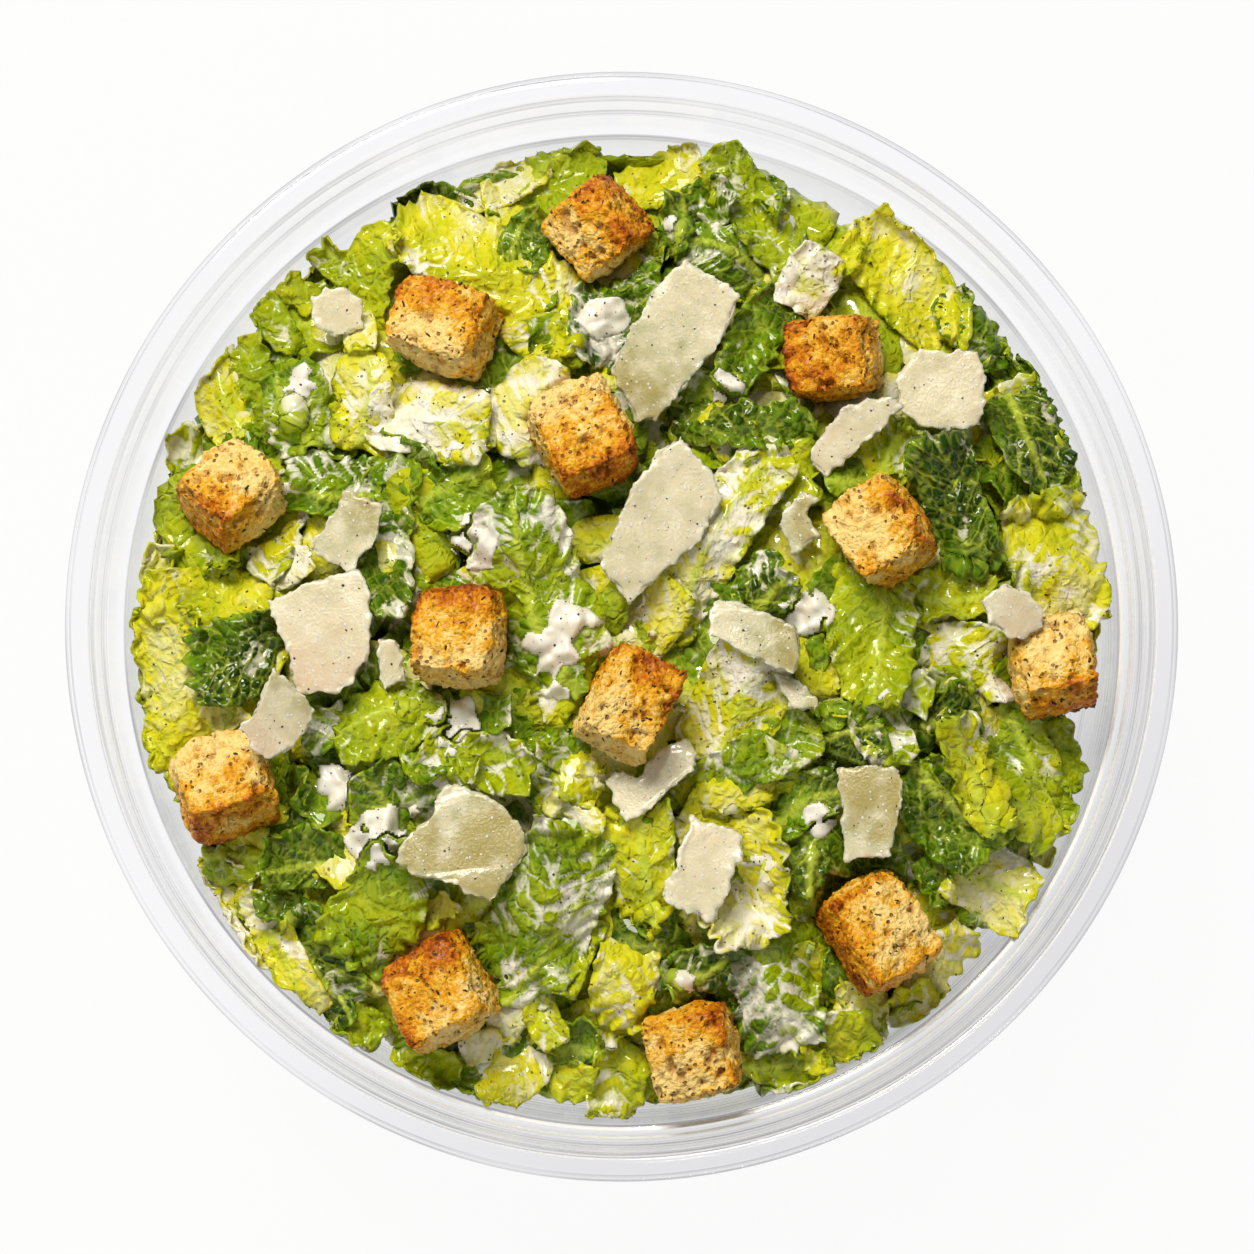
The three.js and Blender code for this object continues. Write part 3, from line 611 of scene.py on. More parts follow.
class SaladColours(bpy.types.PropertyGroup):
    dark_leaf: colour("Dark leaf", "The deepest green of an outer leaf", srgb(34, 62, 0))
    green_leaf: colour("Green leaf", "The usual green of an outer leaf", srgb(98, 136, 0))
    lime_leaf: colour("Lime leaf", "The light green of an inner leaf", srgb(164, 176, 0))
    heart_leaf: colour("Heart leaf", "The yellow green of a heart leaf", srgb(224, 216, 30))
    rib: colour("Rib", "The white rib of a leaf", srgb(236, 231, 172))
    dressing: colour("Dressing", "The creamy dressing", srgb(252, 246, 232))
    crumb: colour("Crumb", "The palest bread of a crouton", srgb(252, 219, 136))
    crust: colour("Crust", "The toasted bread of a crouton", srgb(210, 121, 0))
    burnt: colour("Brown edge", "The brownest edges of a crouton", srgb(98, 42, 4))
    parmesan: colour("Parmesan", "The cheese where it is thick", srgb(230, 220, 187))
    pepper: colour("Pepper", "The grains of pepper", srgb(30, 24, 18))
    herb: colour("Herb", "The dried herbs on the croutons", srgb(44, 46, 18))
    bowl_tint: colour("Bowl tint", "The clear plastic seen face on", srgb(254, 254, 255))
    bowl_shade: colour("Bowl shade", "The clear plastic seen edge on", srgb(200, 199, 201))


# ---------------------------------------------------------------- bowl


def bead(radius, height, reach=0.45, swell=0.45):
    """A fine ring pressed outward in the steep part of the rim."""
    lean = 0.35 * reach
    return [(radius - lean, height - reach), (radius + swell, height), (radius + lean, height + reach)]


def bowl_skin():
    """The outer skin of the bowl, from the middle of the base to the lip."""
    flare = CREASE_RADIUS - BASE_RADIUS
    turn = WALL_SWEEP * np.arange(1, WALL_STEPS + 1) / WALL_STEPS
    radii = BASE_RADIUS + flare * np.sin(turn) / math.sin(WALL_SWEEP)
    heights = CREASE_HEIGHT * (1 - np.cos(turn)) / (1 - math.cos(WALL_SWEEP))
    rim = [
        (CREASE_RADIUS + 0.1, CREASE_HEIGHT + 0.7),
        (CREASE_RADIUS + 1.3, CREASE_HEIGHT + 0.8),
        *bead(CREASE_RADIUS + 3, CREASE_HEIGHT + 5.5),
        *bead(CREASE_RADIUS + 4.6, CREASE_HEIGHT + 10),
        (CREASE_RADIUS + 5.2, BOWL_HEIGHT - WALL),
        (RIM_RADIUS - 1.2, BOWL_HEIGHT - WALL),
        (RIM_RADIUS - WALL, BOWL_HEIGHT - WALL - 0.5),
        (RIM_RADIUS - WALL, BOWL_HEIGHT - 2.6),
    ]
    return np.array([(0, 0), (BASE_RADIUS, 0), *zip(radii, heights), *rim])


def inset(points, distance):
    """The same line moved towards the inside of the bowl."""
    ahead = np.diff(points, axis=0)
    ahead /= np.linalg.norm(ahead, axis=1, keepdims=True)
    before, after = np.vstack([ahead[:1], ahead]), np.vstack([ahead, ahead[-1:]])
    along = before + after
    along /= np.linalg.norm(along, axis=1, keepdims=True)
    reach = distance / np.maximum((along * after).sum(1), (along * before).sum(1))
    moved = points + np.stack([-along[:, 1], along[:, 0]], 1) * reach[:, None]
    moved[points[:, 0] == 0, 0] = 0
    return moved


def rounded(points, radius, steps=4):
    """The line with each sharp corner turned into a small curve."""
    made = [points[0]]
    for before, here, after in zip(points, points[1:], points[2:]):
        into, out = before - here, after - here
        sharp = np.dot(into, out) / (np.linalg.norm(into) * np.linalg.norm(out)) > -0.985
        if not sharp:
            made.append(here)
            continue
        start = here + into * min(radius / np.linalg.norm(into), 0.45)
        end = here + out * min(radius / np.linalg.norm(out), 0.45)
        for share in np.linspace(0, 1, steps):
            made.append((1 - share) ** 2 * start + 2 * share * (1 - share) * here + share**2 * end)
    made.append(points[-1])
    return np.array(made)


# Fine lines that the mould leaves: radius, half their width, how dark they are all round the
# bowl, and how bright a painted reflection along them is towards the lower right, the side painted in
# shade.
MOULD_LINES = [
    (CREASE_RADIUS - 0.2, 0.26, 0.6, 0.0), (CREASE_RADIUS + 0.3, 0.4, 0.0, 0.9),
    (CREASE_RADIUS + 1.7, 0.25, 0.0, 0.6), (CREASE_RADIUS + 2.9, 0.16, 0.5, 0.0),
    (CREASE_RADIUS + 4.4, 0.16, 0.45, 0.0), (CREASE_RADIUS + 5.1, 0.2, 0.0, 0.6),
    (RIM_RADIUS - 1.0, 0.18, 0.3, 0.0), (RIM_RADIUS - 0.2, 0.2, 0.35, 0.0),
]


def clear_plastic(colours):
    make = Finish("clear_plastic")
    place = make.object_mm()
    x = make.node("ShaderNodeSeparateXYZ", None, {"Vector": place}, "X")
    y, z = x.other("Y"), x.other("Z")
    radius = (x * x + y * y) ** 0.5
    around = make.node("ShaderNodeCombineXYZ", None, {
        "X": x / radius * 0.8, "Y": y / radius * 0.8, "Z": radius * 0.9 + z * 0.4,
    })
    drawn = make.grain(around, 1.0, 0.0)
    fine = make.grain(around, 0.7, 0.0)
    # Painted shade: the plastic is greyer towards the lower right, and its fine lines and streaks are
    # stronger there.
    shaded_side = make.band(x * 0.6 - y * 0.8, 0.0, 90.0)
    ripple = make.bump(drawn, 0.15, 0.6)
    facing = make.node("ShaderNodeLayerWeight", None, {"Blend": 0.5}, "Facing")
    clear = make.node("ShaderNodeBsdfTransparent", None, {"Color": four(colours.bowl_tint)})
    shade = make.node("ShaderNodeBsdfTransparent", None, {"Color": four(colours.bowl_shade)})
    # A white diffuse layer, lit by the lamps, that the streaks mix in as painted reflections.
    streak_white = make.node("ShaderNodeBsdfDiffuse", None, {"Color": srgb(250, 251, 252)})
    mirror = make.node("ShaderNodeBsdfAnisotropic", None, {
        "Color": (0.95, 0.96, 0.97, 1.0), "Roughness": 0.06, "Normal": ripple,
    })
    steep = make.band(facing, 0.35, 0.8)
    lines = make.band(drawn, 0.6, 0.7) * steep * (shaded_side * 0.16 + 0.05)
    # Painted reflections: thin white streaks round the steep wall, strongest towards the lower right.
    painted_streaks = make.band(fine, 0.63, 0.7) * steep * (shaded_side * 0.3 + 0.04)
    uneven = make.band(make.grain(place, 30.0, 0.0), 0.35, 0.6, 0.35, 1.0)
    upper = make.band(z, 40.0, 44.0)
    for at, half, darkness, brightness in MOULD_LINES:
        line = make.band((radius - at) ** 2, half**2, (0.4 * half) ** 2) * upper
        lines = lines + line * uneven * darkness
        painted_streaks = painted_streaks + line * shaded_side * brightness
    # The grey tint is stronger where the plastic is seen edge on, along the lines, and as painted shade
    # towards the lower right.
    grey = (facing**5) * 0.95 + lines + shaded_side * 0.2
    tinted = make.mixed(grey, clear, shade)
    bright = make.mixed(painted_streaks, tinted, streak_white)
    return make.done(make.mixed(0.02 + (facing**5) * 0.4, bright, mirror))


# ---------------------------------------------------------------- romaine


def heap_height(x, y):
    """The height of the heap's own dome."""
    reach = np.minimum(np.hypot(x, y) / HEAP_RADIUS, 1)
    dome = HEAP_TOP - (HEAP_TOP - HEAP_EDGE) * reach**HEAP_POWER
    return dome + 0.8 * np.sin(x / 11 + 0.6) * np.cos(y / 9)


class Leaf:
    """One piece of romaine, which is dressed and coloured like its kind where it says nothing else."""

    def __init__(self, kind, seed, x, y, length, width, heading, rise=0, roll=0, film=None, tone=None):
        self.kind, self.seed, self.look = kind, seed, KINDS[kind]
        self.x, self.y, self.length, self.width = x, y, length, width
        self.turn, self.rise, self.roll = math.radians(heading), rise, roll
        self.film = self.look.film if film is None else film
        self.tone = self.look.tone if tone is None else tone
        self.phase = seed * GOLDEN_ANGLE

    def draw(self, row):
        return draw(self.seed, row)

    def outline(self, step, tears=1.0):
        """Its grid: u and v from -1 to 1, and the distances along and across it, torn at the edge."""
        length, width = self.length, self.width
        mean = math.sqrt(length * width)
        columns, rows = max(6, round(length / step)), max(5, round(width / step))
        u, v = np.meshgrid(np.linspace(-1, 1, columns + 1), np.linspace(-1, 1, rows + 1), indexing="ij")
        edge = np.maximum(np.abs(u), np.abs(v))
        angle = np.arctan2(v * width, u * length)
        ring = place3(np.cos(angle), np.sin(angle)) * (length + width) / math.pi
        ring = ring + (0, 0, 9.7 * self.seed)
        lobe = 1.5 * noise(ring, 8.0, 3) + 1.3 * np.abs(noise(ring, 4.2, 4))
        teeth = 0.7 * np.abs(noise(ring, 2.1, 5)) + 0.15 * noise(ring, 0.8, 6)
        worn = tears * self.look.tooth * (0.9 * lobe + teeth - 0.75) * min(1.0, mean / 13)
        shrink = 1 - edge**3 * np.clip(worn, -1.2, 3) / (0.5 * mean)
        worn_u, worn_v = u * shrink, v * shrink
        narrowing = 1 - 0.2 * np.abs(worn_u) ** 3 + 0.1 * worn_u * math.cos(self.phase)
        sweep = 0.05 * length * (1 - worn_u**2) * math.sin(self.phase)
        along = 0.5 * length * worn_u * (1 - 0.08 * worn_v**2)
        return u, v, along, 0.5 * width * worn_v * narrowing + sweep

    def bend(self, u, v):
        """How far its arch, frill, roll, curled sides and fold lift it."""
        length, width = self.length, self.width
        arch = LEAF_ARCH * width * (1 - v * v) * (-1 if self.seed % 3 == 0 else 1)
        frill = LEAF_FRILL * width * v * np.sin(3.1 * u + self.phase)
        curl = (self.draw(1) * 2.6 - 0.7) * np.maximum(v - 0.3, 0) ** 2
        curl = curl + (self.draw(2) * 2.6 - 0.7) * np.maximum(-v - 0.3, 0) ** 2
        curl = curl + (self.draw(3) * 2.4 - 0.8) * np.maximum(u - 0.2, 0) ** 2
        way, shift = math.pi * self.draw(8), 3 * (self.draw(9) - 0.5)
        fold = 0.5 * length * u * math.cos(way) + 0.5 * width * v * math.sin(way) + shift
        steep = 0.34 if self.draw(10) < 0.65 else -0.26
        crease = -steep * (np.sqrt(fold**2 + 0.3) - 0.22 * (length + width) / 2)
        return arch + frill + 0.5 * self.roll * v + 2 * curl + np.clip(crease, -2.2, 2.2)

    def ribs(self, u, v, half):
        """Its middle rib and the thin ones that leave it, where half its width has room for them."""
        if self.draw(4) >= self.look.ribbed or half <= 3:
            return np.zeros_like(u)
        middle = (self.draw(5) - 0.5) * 0.9 + 0.14 * np.sin(2 * u + self.seed)
        reach = (0.5 + 0.5 * self.draw(6)) / half
        main = np.exp(-(((v - middle) / (reach * (1.3 - 0.6 * u))) ** 2))
        side = np.abs(((np.abs(v - middle) - 0.9 * u) * half / 4.2) % 1 - 0.5)
        return np.maximum(main, 0.55 * smooth_step(0.1 - side, 0, 0.08) * (np.abs(v - middle) < 0.9))

    def relief(self, u, v, along, across):
        """How far its blisters, crumples, ruffles and ribs stand out, and what its finish reads."""
        look = self.look
        place = place3(along, across, 31.0 * self.seed)
        bent = place3(along - 0.8 * np.abs(across), 0.62 * across, 31.0 * self.seed)
        bent = bent + 1.2 * place3(noise(place, 3.4, 21), noise(place, 3.4, 22))
        near, second = cells(bent, look.blister, 31)
        ridge = np.clip((second - near) / 0.6, 0, 1)
        blister = ridge * (2 - ridge) * (1 + 0.25 * noise(place, 1.1, 24))
        valley = 1 - smooth_step(second - near, 0.03, 0.3)
        near, second = cells(bent, 0.4 * look.blister, 37)
        fine = np.clip((second - near) / 0.6, 0, 1)
        crumple = noise(place, 9.0, 41) + 0.45 * noise(place, 4.0, 42)
        edge = np.maximum(np.abs(u), np.abs(v))
        wave = 2 * np.pi * (along + across) / 4.4 + 4.0 * noise(place, 5.0, 43) + self.seed
        ruffle = look.ruffle * edge**4 * np.sin(wave)
        rib = self.ribs(u, v, 0.5 * np.ptp(across))
        relief = look.swell * (blister - 0.6) * (1 - 0.7 * rib) + 0.12 * look.swell * fine
        relief = relief + look.crumple * crumple + ruffle + 0.35 * rib
        valley = valley * (1 - rib)
        return relief, {"place": place, "valley": valley, "rib": rib, "edge": edge, "blister": blister}

    def layers(self, marks):
        """What the finish reads at each point of both faces: tone, ribs, dressing and place."""
        place, valley, blister = marks["place"], marks["valley"], marks["blister"]
        tone = self.tone + 0.12 * (self.draw(7) - 0.5) + 0.3 * noise(place, 8.0, 51, 2)
        # Painted shade and light: the tone is a little darker in the valleys between blisters and
        # lighter on their domes.
        tone = tone + 0.08 * (blister - 0.5)
        tone = tone + 0.4 * (0.45 - self.tone) * smooth_step(marks["edge"], 0.8, 1.0)
        pale = np.maximum(marks["rib"], 0.55 * valley * (1 - 0.5 * self.tone))
        smear = noise(place + 1.5 * noise(place, 3.0, 54)[..., None], 5.5, 53, 3)
        wet = 1.3 * self.film - 0.76 + 0.9 * smear + 0.5 * valley - 0.16 * blister
        values = {"tone": tone, "pale": pale, "film": 0.5 + wet}
        made = {name: np.tile(np.clip(value, 0, 1).ravel(), 2) for name, value in values.items()}
        return {**made, "leaf_mm": np.tile(place.reshape(-1, 3), (2, 1))}


def leaves_of(table, first_seed=0):
    """The leaves of a table, numbered from the first seed on."""
    rows = [(kind, row) for kind, rows in table.items() for row in rows]
    return [Leaf(kind, first_seed + number, *row) for number, (kind, row) in enumerate(rows)]


def lowest_first(leaves):
    return sorted(leaves, key=lambda leaf: leaf.rise)


class Ground:
    """A height for each spot over the bowl, on a square grid."""

    STEP = 0.5
    REACH = 95.0

    def __init__(self, height):
        count = int(2 * self.REACH / self.STEP) + 1
        self.height = np.full((count, count), float(height))

    def corners(self, x, y):
        """The grid's corner before each spot, and the shares of a step past it."""
        across = (np.asarray(x) + self.REACH) / self.STEP
        up = (np.asarray(y) + self.REACH) / self.STEP
        limit = len(self.height) - 2
        i, j = np.clip(across.astype(int), 0, limit), np.clip(up.astype(int), 0, limit)
        return i, j, across - i, up - j

    def at(self, x, y):
        """The height at each spot."""
        i, j, s, t = self.corners(x, y)
        h = self.height
        low = h[i, j] * (1 - s) + h[i + 1, j] * s
        high = h[i, j + 1] * (1 - s) + h[i + 1, j + 1] * s
        return low * (1 - t) + high * t

    def raise_to(self, x, y, z):
        """Raises the corners round each spot to its height at least."""
        i, j, _, _ = self.corners(x, y)
        for di, dj in itertools.product((0, 1), repeat=2):
            np.maximum.at(self.height, (i + di, j + dj), z)

    def softened(self, passes=2):
        made = Ground(0)
        made.height = self.height
        for _ in range(passes):
            made.height = with_neighbours(made.height, 4, "edge") / 8
        return made


def topping_undersides(slope=2.0, spread=16):
    """The height that leaves stay under: beneath croutons and shavings, and rising away from them."""
    under = Ground(1e3)
    grid = np.arange(len(under.height)) * Ground.STEP - Ground.REACH
    for node in CROUTONS + SHAVINGS:
        tree = tree_of(frame["nodes"][node])
        low, high = (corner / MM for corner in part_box(node))
        for i in np.flatnonzero((grid > low.x) & (grid < high.x)):
            for j in np.flatnonzero((grid > low.y) & (grid < high.y)):
                hit = tree.ray_cast(Vector((grid[i], grid[j], 0)), Vector((0, 0, 1)))[0]
                if hit:
                    under.height[i, j] = min(under.height[i, j], hit.z)
    for _ in range(spread):
        away = under.height + slope * Ground.STEP
        for near, far in ((under.height, away), (under.height.T, away.T)):
            near[1:] = np.minimum(near[1:], far[:-1])
            near[:-1] = np.minimum(near[:-1], far[1:])
    return under


def inner_wall(gap=0.0):
    """A line inside the bowl at a gap from its wall, as rising radii and heights."""
    return inset(bowl_skin(), WALL + gap)


class Bed:
    """What leaves are laid between: the pieces below, the toppings above and the bowl's wall."""

    SOFTNESS = 0.5
    LIFT_LIMIT = 2.6
    GAP_BELOW = 0.35
    GAP_ABOVE = 0.8

    def __init__(self, *pieces):
        self.ground, self.under, self.wall = Ground(0), topping_undersides(), inner_wall()[1:-5]
        for piece in pieces:
            points = read(bpy.data.objects[piece].data.vertices, "co") / MM
            self.ground.raise_to(*points.T)

    def in_bowl(self, x, y, z, margin):
        """Points beyond the wall slide back to it and climb a little."""
        radius = np.hypot(x, y)
        limit = np.interp(z, self.wall[:, 1], self.wall[:, 0]) - margin
        over = np.maximum(radius - limit, 0)
        shrink = np.where(over > 0, limit / np.maximum(radius, 1e-6), 1)
        return x * shrink, y * shrink, z + 0.6 * over

    def lay(self, leaf, step, thickness, sink=0.0):
        """Drapes a leaf over what lies there, as a closed mesh with its layers."""
        u, v, along, across = leaf.outline(step)
        x = leaf.x + along * math.cos(leaf.turn) - across * math.sin(leaf.turn)
        y = leaf.y + along * math.sin(leaf.turn) + across * math.cos(leaf.turn)
        lift = (leaf.rise + LEAF_TUCK) * (0.5 + 0.5 * u) ** 0.8 - LEAF_TUCK
        z = heap_height(x, y) + lift + leaf.bend(u, v) - sink
        x, y, z = self.in_bowl(x * SPREAD, y * SPREAD, z, 0.5)
        below = self.ground.softened().at(x, y) + self.GAP_BELOW
        z = z + np.clip(np.quantile(below - z, 0.5), 0, self.LIFT_LIMIT)
        z = self.SOFTNESS * np.logaddexp(z / self.SOFTNESS, below / self.SOFTNESS)
        ceiling = self.under.at(x, y) - self.GAP_ABOVE
        base = np.stack([x, y, np.minimum(z, ceiling)], -1)
        relief, marks = leaf.relief(u, v, along, across)
        x, y, z = np.moveaxis(base + grid_normals(base) * relief[..., None], -1, 0)
        top = np.stack(self.in_bowl(x, y, np.minimum(z, ceiling + 0.5), 0.15), -1)
        self.ground.raise_to(*top.reshape(-1, 3).T)
        return *thickened(top, grid_normals(top), thickness), leaf.layers(marks)


class WallLine:
    """The line that leaves press against: from the middle of the base out and up the wall."""

    def __init__(self):
        line = inner_wall(0.55)
        self.line = line[line[:, 1] < HEAP_EDGE + 1.5]
        steps = np.linalg.norm(np.diff(self.line, axis=0), axis=1)
        self.run = np.concatenate([[0], np.cumsum(steps)])
        inward = np.gradient(self.line, axis=0)[:, ::-1] * (-1, 1)
        self.inward = inward / np.linalg.norm(inward, axis=1, keepdims=True)

    def at(self, place, depth=0.0):
        """The radius and height at a distance along the line and a depth in from it."""
        line, inward = self.line.T, self.inward.T
        return [
            np.interp(place, self.run, line[k]) + depth * np.interp(place, self.run, inward[k])
            for k in (0, 1)
        ]

    def press(self, leaf, middle, turn, step, thickness):
        """Bends a leaf along the wall or base, with folds that leave dark gaps behind it."""
        u, v, along, across = leaf.outline(step, tears=1.7)
        flat = place3(along, across, 23.0 * leaf.seed)
        sine, cosine = math.sin(leaf.turn), math.cos(leaf.turn)
        upward = along * sine + across * cosine + 4.5 * noise(flat, 10.0, 121, 2)
        around = along * cosine - across * sine + 4.5 * noise(flat, 10.0, 122, 2)
        centre = self.at(middle)[0]
        if centre < BASE_RADIUS - 6:
            angle = np.arctan2(around, centre + upward) + turn
            place = np.minimum(np.hypot(centre + upward, around), self.run[-1])
        else:
            place = np.clip(middle + upward, 0, self.run[-1])
            angle = turn + around / np.maximum(self.at(place)[0], 8)
        relief, marks = leaf.relief(u, v, along, across)
        fold = 0.5 + 0.5 * np.sin(turn + 2.6 * u + 1.8 * v)
        radius, height = self.at(place, 0.25 + 2.2 * fold + np.maximum(0.8 * relief + 0.8, 0))
        top = np.stack([radius * np.cos(angle), radius * np.sin(angle), height], -1)
        normals = grid_normals(top)
        spot = top.shape[0] // 2, top.shape[1] // 2
        if np.dot(normals[spot], top[spot] * (1, 1, 0) - (0, 0, 40)) > 0:
            top, normals = top[::-1], -normals[::-1]
            marks = {name: values[::-1] for name, values in marks.items()}
        points, faces = thickened(top, normals, -thickness)
        return points, [face[:, ::-1] for face in faces], leaf.layers(marks)


def romaine(colours):
    """The one finish that all the leaves share."""
    return bpy.data.materials.get("dressed_leaf") or romaine_finish(colours)


def romaine_finish(colours):
    make = Finish("dressed_leaf")
    place = make.layer("leaf_mm", "Vector")
    tone, film, pale = make.layer("tone"), make.layer("film"), make.layer("pale")
    mottle = make.grain(place, 1.5, 2.0) - 0.5
    bent = make.node("ShaderNodeVectorMath", {"operation": "ADD"}, {0: place, 1: mottle * 1.6})
    inward = make.pebbles(bent, 1.7, "DISTANCE_TO_EDGE")
    net = make.band(inward, 0.16, 0.02)
    dome = make.band(inward, 0.0, 0.45)
    along = make.node("ShaderNodeSeparateXYZ", None, {"Vector": place}, "X")
    aside = abs((along - abs(along.other("Y"))) * 0.21 + mottle * 0.35)
    branch = make.band(abs(aside % 1.0 - 0.5), 0.1, 0.02)
    branch = branch * make.band(make.grain(place, 9.0, 0.0), 0.4, 0.55)
    shades = colours.dark_leaf, colours.green_leaf, colours.lime_leaf, colours.heart_leaf, colours.rib
    stops = [(at, four(shade)) for at, shade in zip((0.0, 0.26, 0.55, 0.8, 1.0), shades)]
    leaf = make.ramp(tone + mottle * 0.22, stops)
    veins = make.band(pale + mottle * 0.5, 0.15, 1.0) * 0.6 + net * 0.16 + branch * 0.35
    veined = make.blend(leaf, srgb(200, 214, 72), veins)
    wet = film + mottle * 0.5 + net * 0.1
    cover = make.band(wet, 0.45, 0.82) * 0.6 + make.band(wet, 0.82, 1.05) * 0.32
    dressed = make.blend(veined, four(colours.dressing), cover)
    spot = make.flecks(place, 2.1, 0.15, 0.4)
    height = mottle * 1.2 + dome * (1.0 - cover * 0.5) + cover * 0.5 + branch * 0.3
    return make.solid({
        "Base Color": make.blend(dressed, four(colours.pepper), spot * 0.75),
        "Roughness": 0.5 - cover * 0.14, "Specular IOR Level": 0.06,
        "Coat Weight": 0.52 + cover * 0.28, "Coat Roughness": 0.06,
        "Normal": make.bump(height, 0.9, 0.34),
    })


# ---------------------------------------------------------------- dressing


def cream_finish(colours):
    make = Finish("dressing")
    place = make.object_mm()
    cloud = make.grain(place, 3.0, 3.0)
    cream = make.blend(four(colours.dressing), srgb(226, 214, 186), make.band(cloud, 0.45, 0.8) * 0.6)
    spice = make.band(make.grain(place, 0.62, 1.0), 0.7, 0.76)
    spiced = make.blend(cream, srgb(112, 56, 30), spice * 0.85)
    height = cloud * 0.6 + make.grain(place, 0.9, 2.0) * 0.35 + spice * 0.3
    return make.solid({
        "Base Color": spiced, "Roughness": 0.26 + cloud * 0.1,
        "Subsurface Weight": 0.3, "Subsurface Radius": (1.0, 0.8, 0.5), "Subsurface Scale": 1.5 * MM,
        "Coat Weight": 0.6, "Coat Roughness": 0.08,
        "Normal": make.bump(height, 0.6, 0.3),
    })


# ---------------------------------------------------------------- croutons and parmesan


def refined(node, voxel, fewest=200):
    """A fine mesh of a frame node's solid."""
    mesh = frame["nodes"][node].data.copy()
    source = bpy.data.objects.new(node + "_fine", mesh)
    bpy.context.scene.collection.objects.link(source)
    weld = source.modifiers.new("weld", "WELD")
    weld.merge_threshold = 0.02 * MM
    remesh = source.modifiers.new("voxels", "REMESH")
    remesh.mode = "VOXEL"
    remesh.voxel_size = voxel
    remesh.adaptivity = 0.0
    graph = bpy.context.evaluated_depsgraph_get()
    made = bpy.data.meshes.new_from_object(source.evaluated_get(graph))
    bpy.data.objects.remove(source)
    if len(made.vertices) < fewest:
        raise RuntimeError(f"the fine mesh of {node} came out empty")
    made.update()
    return made


def averaged(values, edges, passes):
    """Values smoothed along the edges of a mesh."""
    count = np.bincount(edges.ravel(), minlength=len(values))[:, None]
    for _ in range(passes):
        total = np.zeros_like(values)
        for axis, (here, there) in itertools.product(range(values.shape[1]), ((0, 1), (1, 0))):
            total[:, axis] += np.bincount(edges[:, here], values[edges[:, there], axis], len(values))
        values = 0.5 * values + 0.5 * total / count
    return values


def carve_bread(points, normals, edges, number):
    """Torn, porous bread: the moved points, how toasted each is and how deep in a pore."""
    smooth = averaged(points, edges, 24)
    corner = np.clip(((points - smooth) * normals).sum(1) / 1.2, 0, 1)
    place = points + 60.0 * number
    near = cells(place * (1.0, 0.75, 1.0), 2.1, number)[0]
    pores = smooth_step(0.26 + 0.3 * noise(place, 3.0, 61) - near, 0.0, 0.12)
    near = cells(place, 1.25, number + 5)[0]
    small = smooth_step(0.42 - near, 0.0, 0.16) * smooth_step(noise(place, 2.4, 63), -0.2, 0.3)
    crag = 0.6 * noise(place, 6.0, 65, 2) + 0.25 * noise(place, 1.7, 66) + 0.45 * noise(place, 0.8, 67)
    chewed = 1.3 * corner * noise(place, 1.8, 69)
    moved = crag + chewed - 1.4 * pores - 0.7 * small
    way, browning = BROWN_SIDES[number]
    turn = math.radians(way)
    middle = 0.5 * (points.max(0) + points.min(0))
    side = ((points - middle) * (math.cos(turn), math.sin(turn), 0)).sum(1) / 9
    toast = browning - 0.33 + 0.32 * side + 0.66 * corner + 0.4 * noise(place, 5.0, 111, 2)
    layers = {"toast": np.clip(toast, 0, 1), "pore": np.maximum(pores, 0.7 * small)}
    return points + normals * np.clip(moved - 0.1, -1.7, 0.5)[:, None], layers


def toast_finish(colours):
    make = Finish("toasted_bread")
    place = make.object_mm()
    toast, pore = make.layer("toast"), make.layer("pore")
    blotch = make.grain(place, 3.0, 3.0) - 0.5
    crumb = make.grain(place, 0.6, 1.0) - 0.5
    brown = toast + blotch * 0.95 + crumb * 0.75
    bread = make.ramp(brown, [
        (0.02, four(colours.crumb)), (0.3, srgb(240, 178, 34)), (0.58, four(colours.crust)),
        (0.8, srgb(166, 78, 0)), (1.0, four(colours.burnt)),
    ])
    pit = make.band(make.pebbles(place, 1.5), 0.27, 0.15)
    pit = pit * make.band(make.grain(place, 1.9, 1.0), 0.46, 0.54)
    # Painted shade: pores and pits are coloured darker, as shade falls in them.
    pore_shaded = make.blend(bread, srgb(146, 80, 4), (pore * 0.6).at_least(pit * 0.85))
    # White flecks: salt crystals, and painted glints.
    grains = make.flecks(place, 0.9, 0.2, 0.3)
    crystal_glints = make.blend(pore_shaded, srgb(255, 234, 176), grains * 0.6)
    herbs = make.flecks(place, 2.2, 0.2, 0.25)
    height = crumb * 1.2 + blotch * 0.25 + grains * 0.6 - pit * 1.6
    return make.solid({
        "Base Color": make.blend(crystal_glints, four(colours.herb), herbs * 0.85),
        "Roughness": 0.62 - toast * 0.12, "Specular IOR Level": 0.2,
        "Coat Weight": 0.15, "Coat Roughness": 0.2,
        "Normal": make.bump(height, 0.95, 0.5),
    })


def carve_cheese(points, normals, edges, number):
    """Brittle cheese: the moved points, and its painted green shade, how pink, near the rim and thin
    each is.
    """
    smooth = averaged(points, edges, 14)
    rim = np.clip(((points - smooth) * normals).sum(1) / 0.35, 0, 1)
    place = points + 47.0 * number
    inward = (averaged(points, edges, 40) - points) * (1, 1, 0)
    thin = np.clip(np.linalg.norm(inward, axis=1) / 0.7, 0, 1)
    torn = np.clip(1.3 * noise(place * (1, 1, 0.3), 2.2, 77, 2) + 0.3, 0, 1.2)
    face = 0.22 * noise(place, 5.5, 71, 2)
    crumble = rim * (0.9 * noise(place, 1.5, 75) + 0.5 * noise(place, 0.7, 76) - 0.2)
    moved = points + 1.2 * inward * torn[:, None]
    moved = moved + normals * np.clip(face + crumble - 0.08, -0.9, 0.35)[:, None]
    green, pink = shaving_tints(points, number)
    return moved, {"green": green, "pink": pink, "rim": rim, "thin": thin}


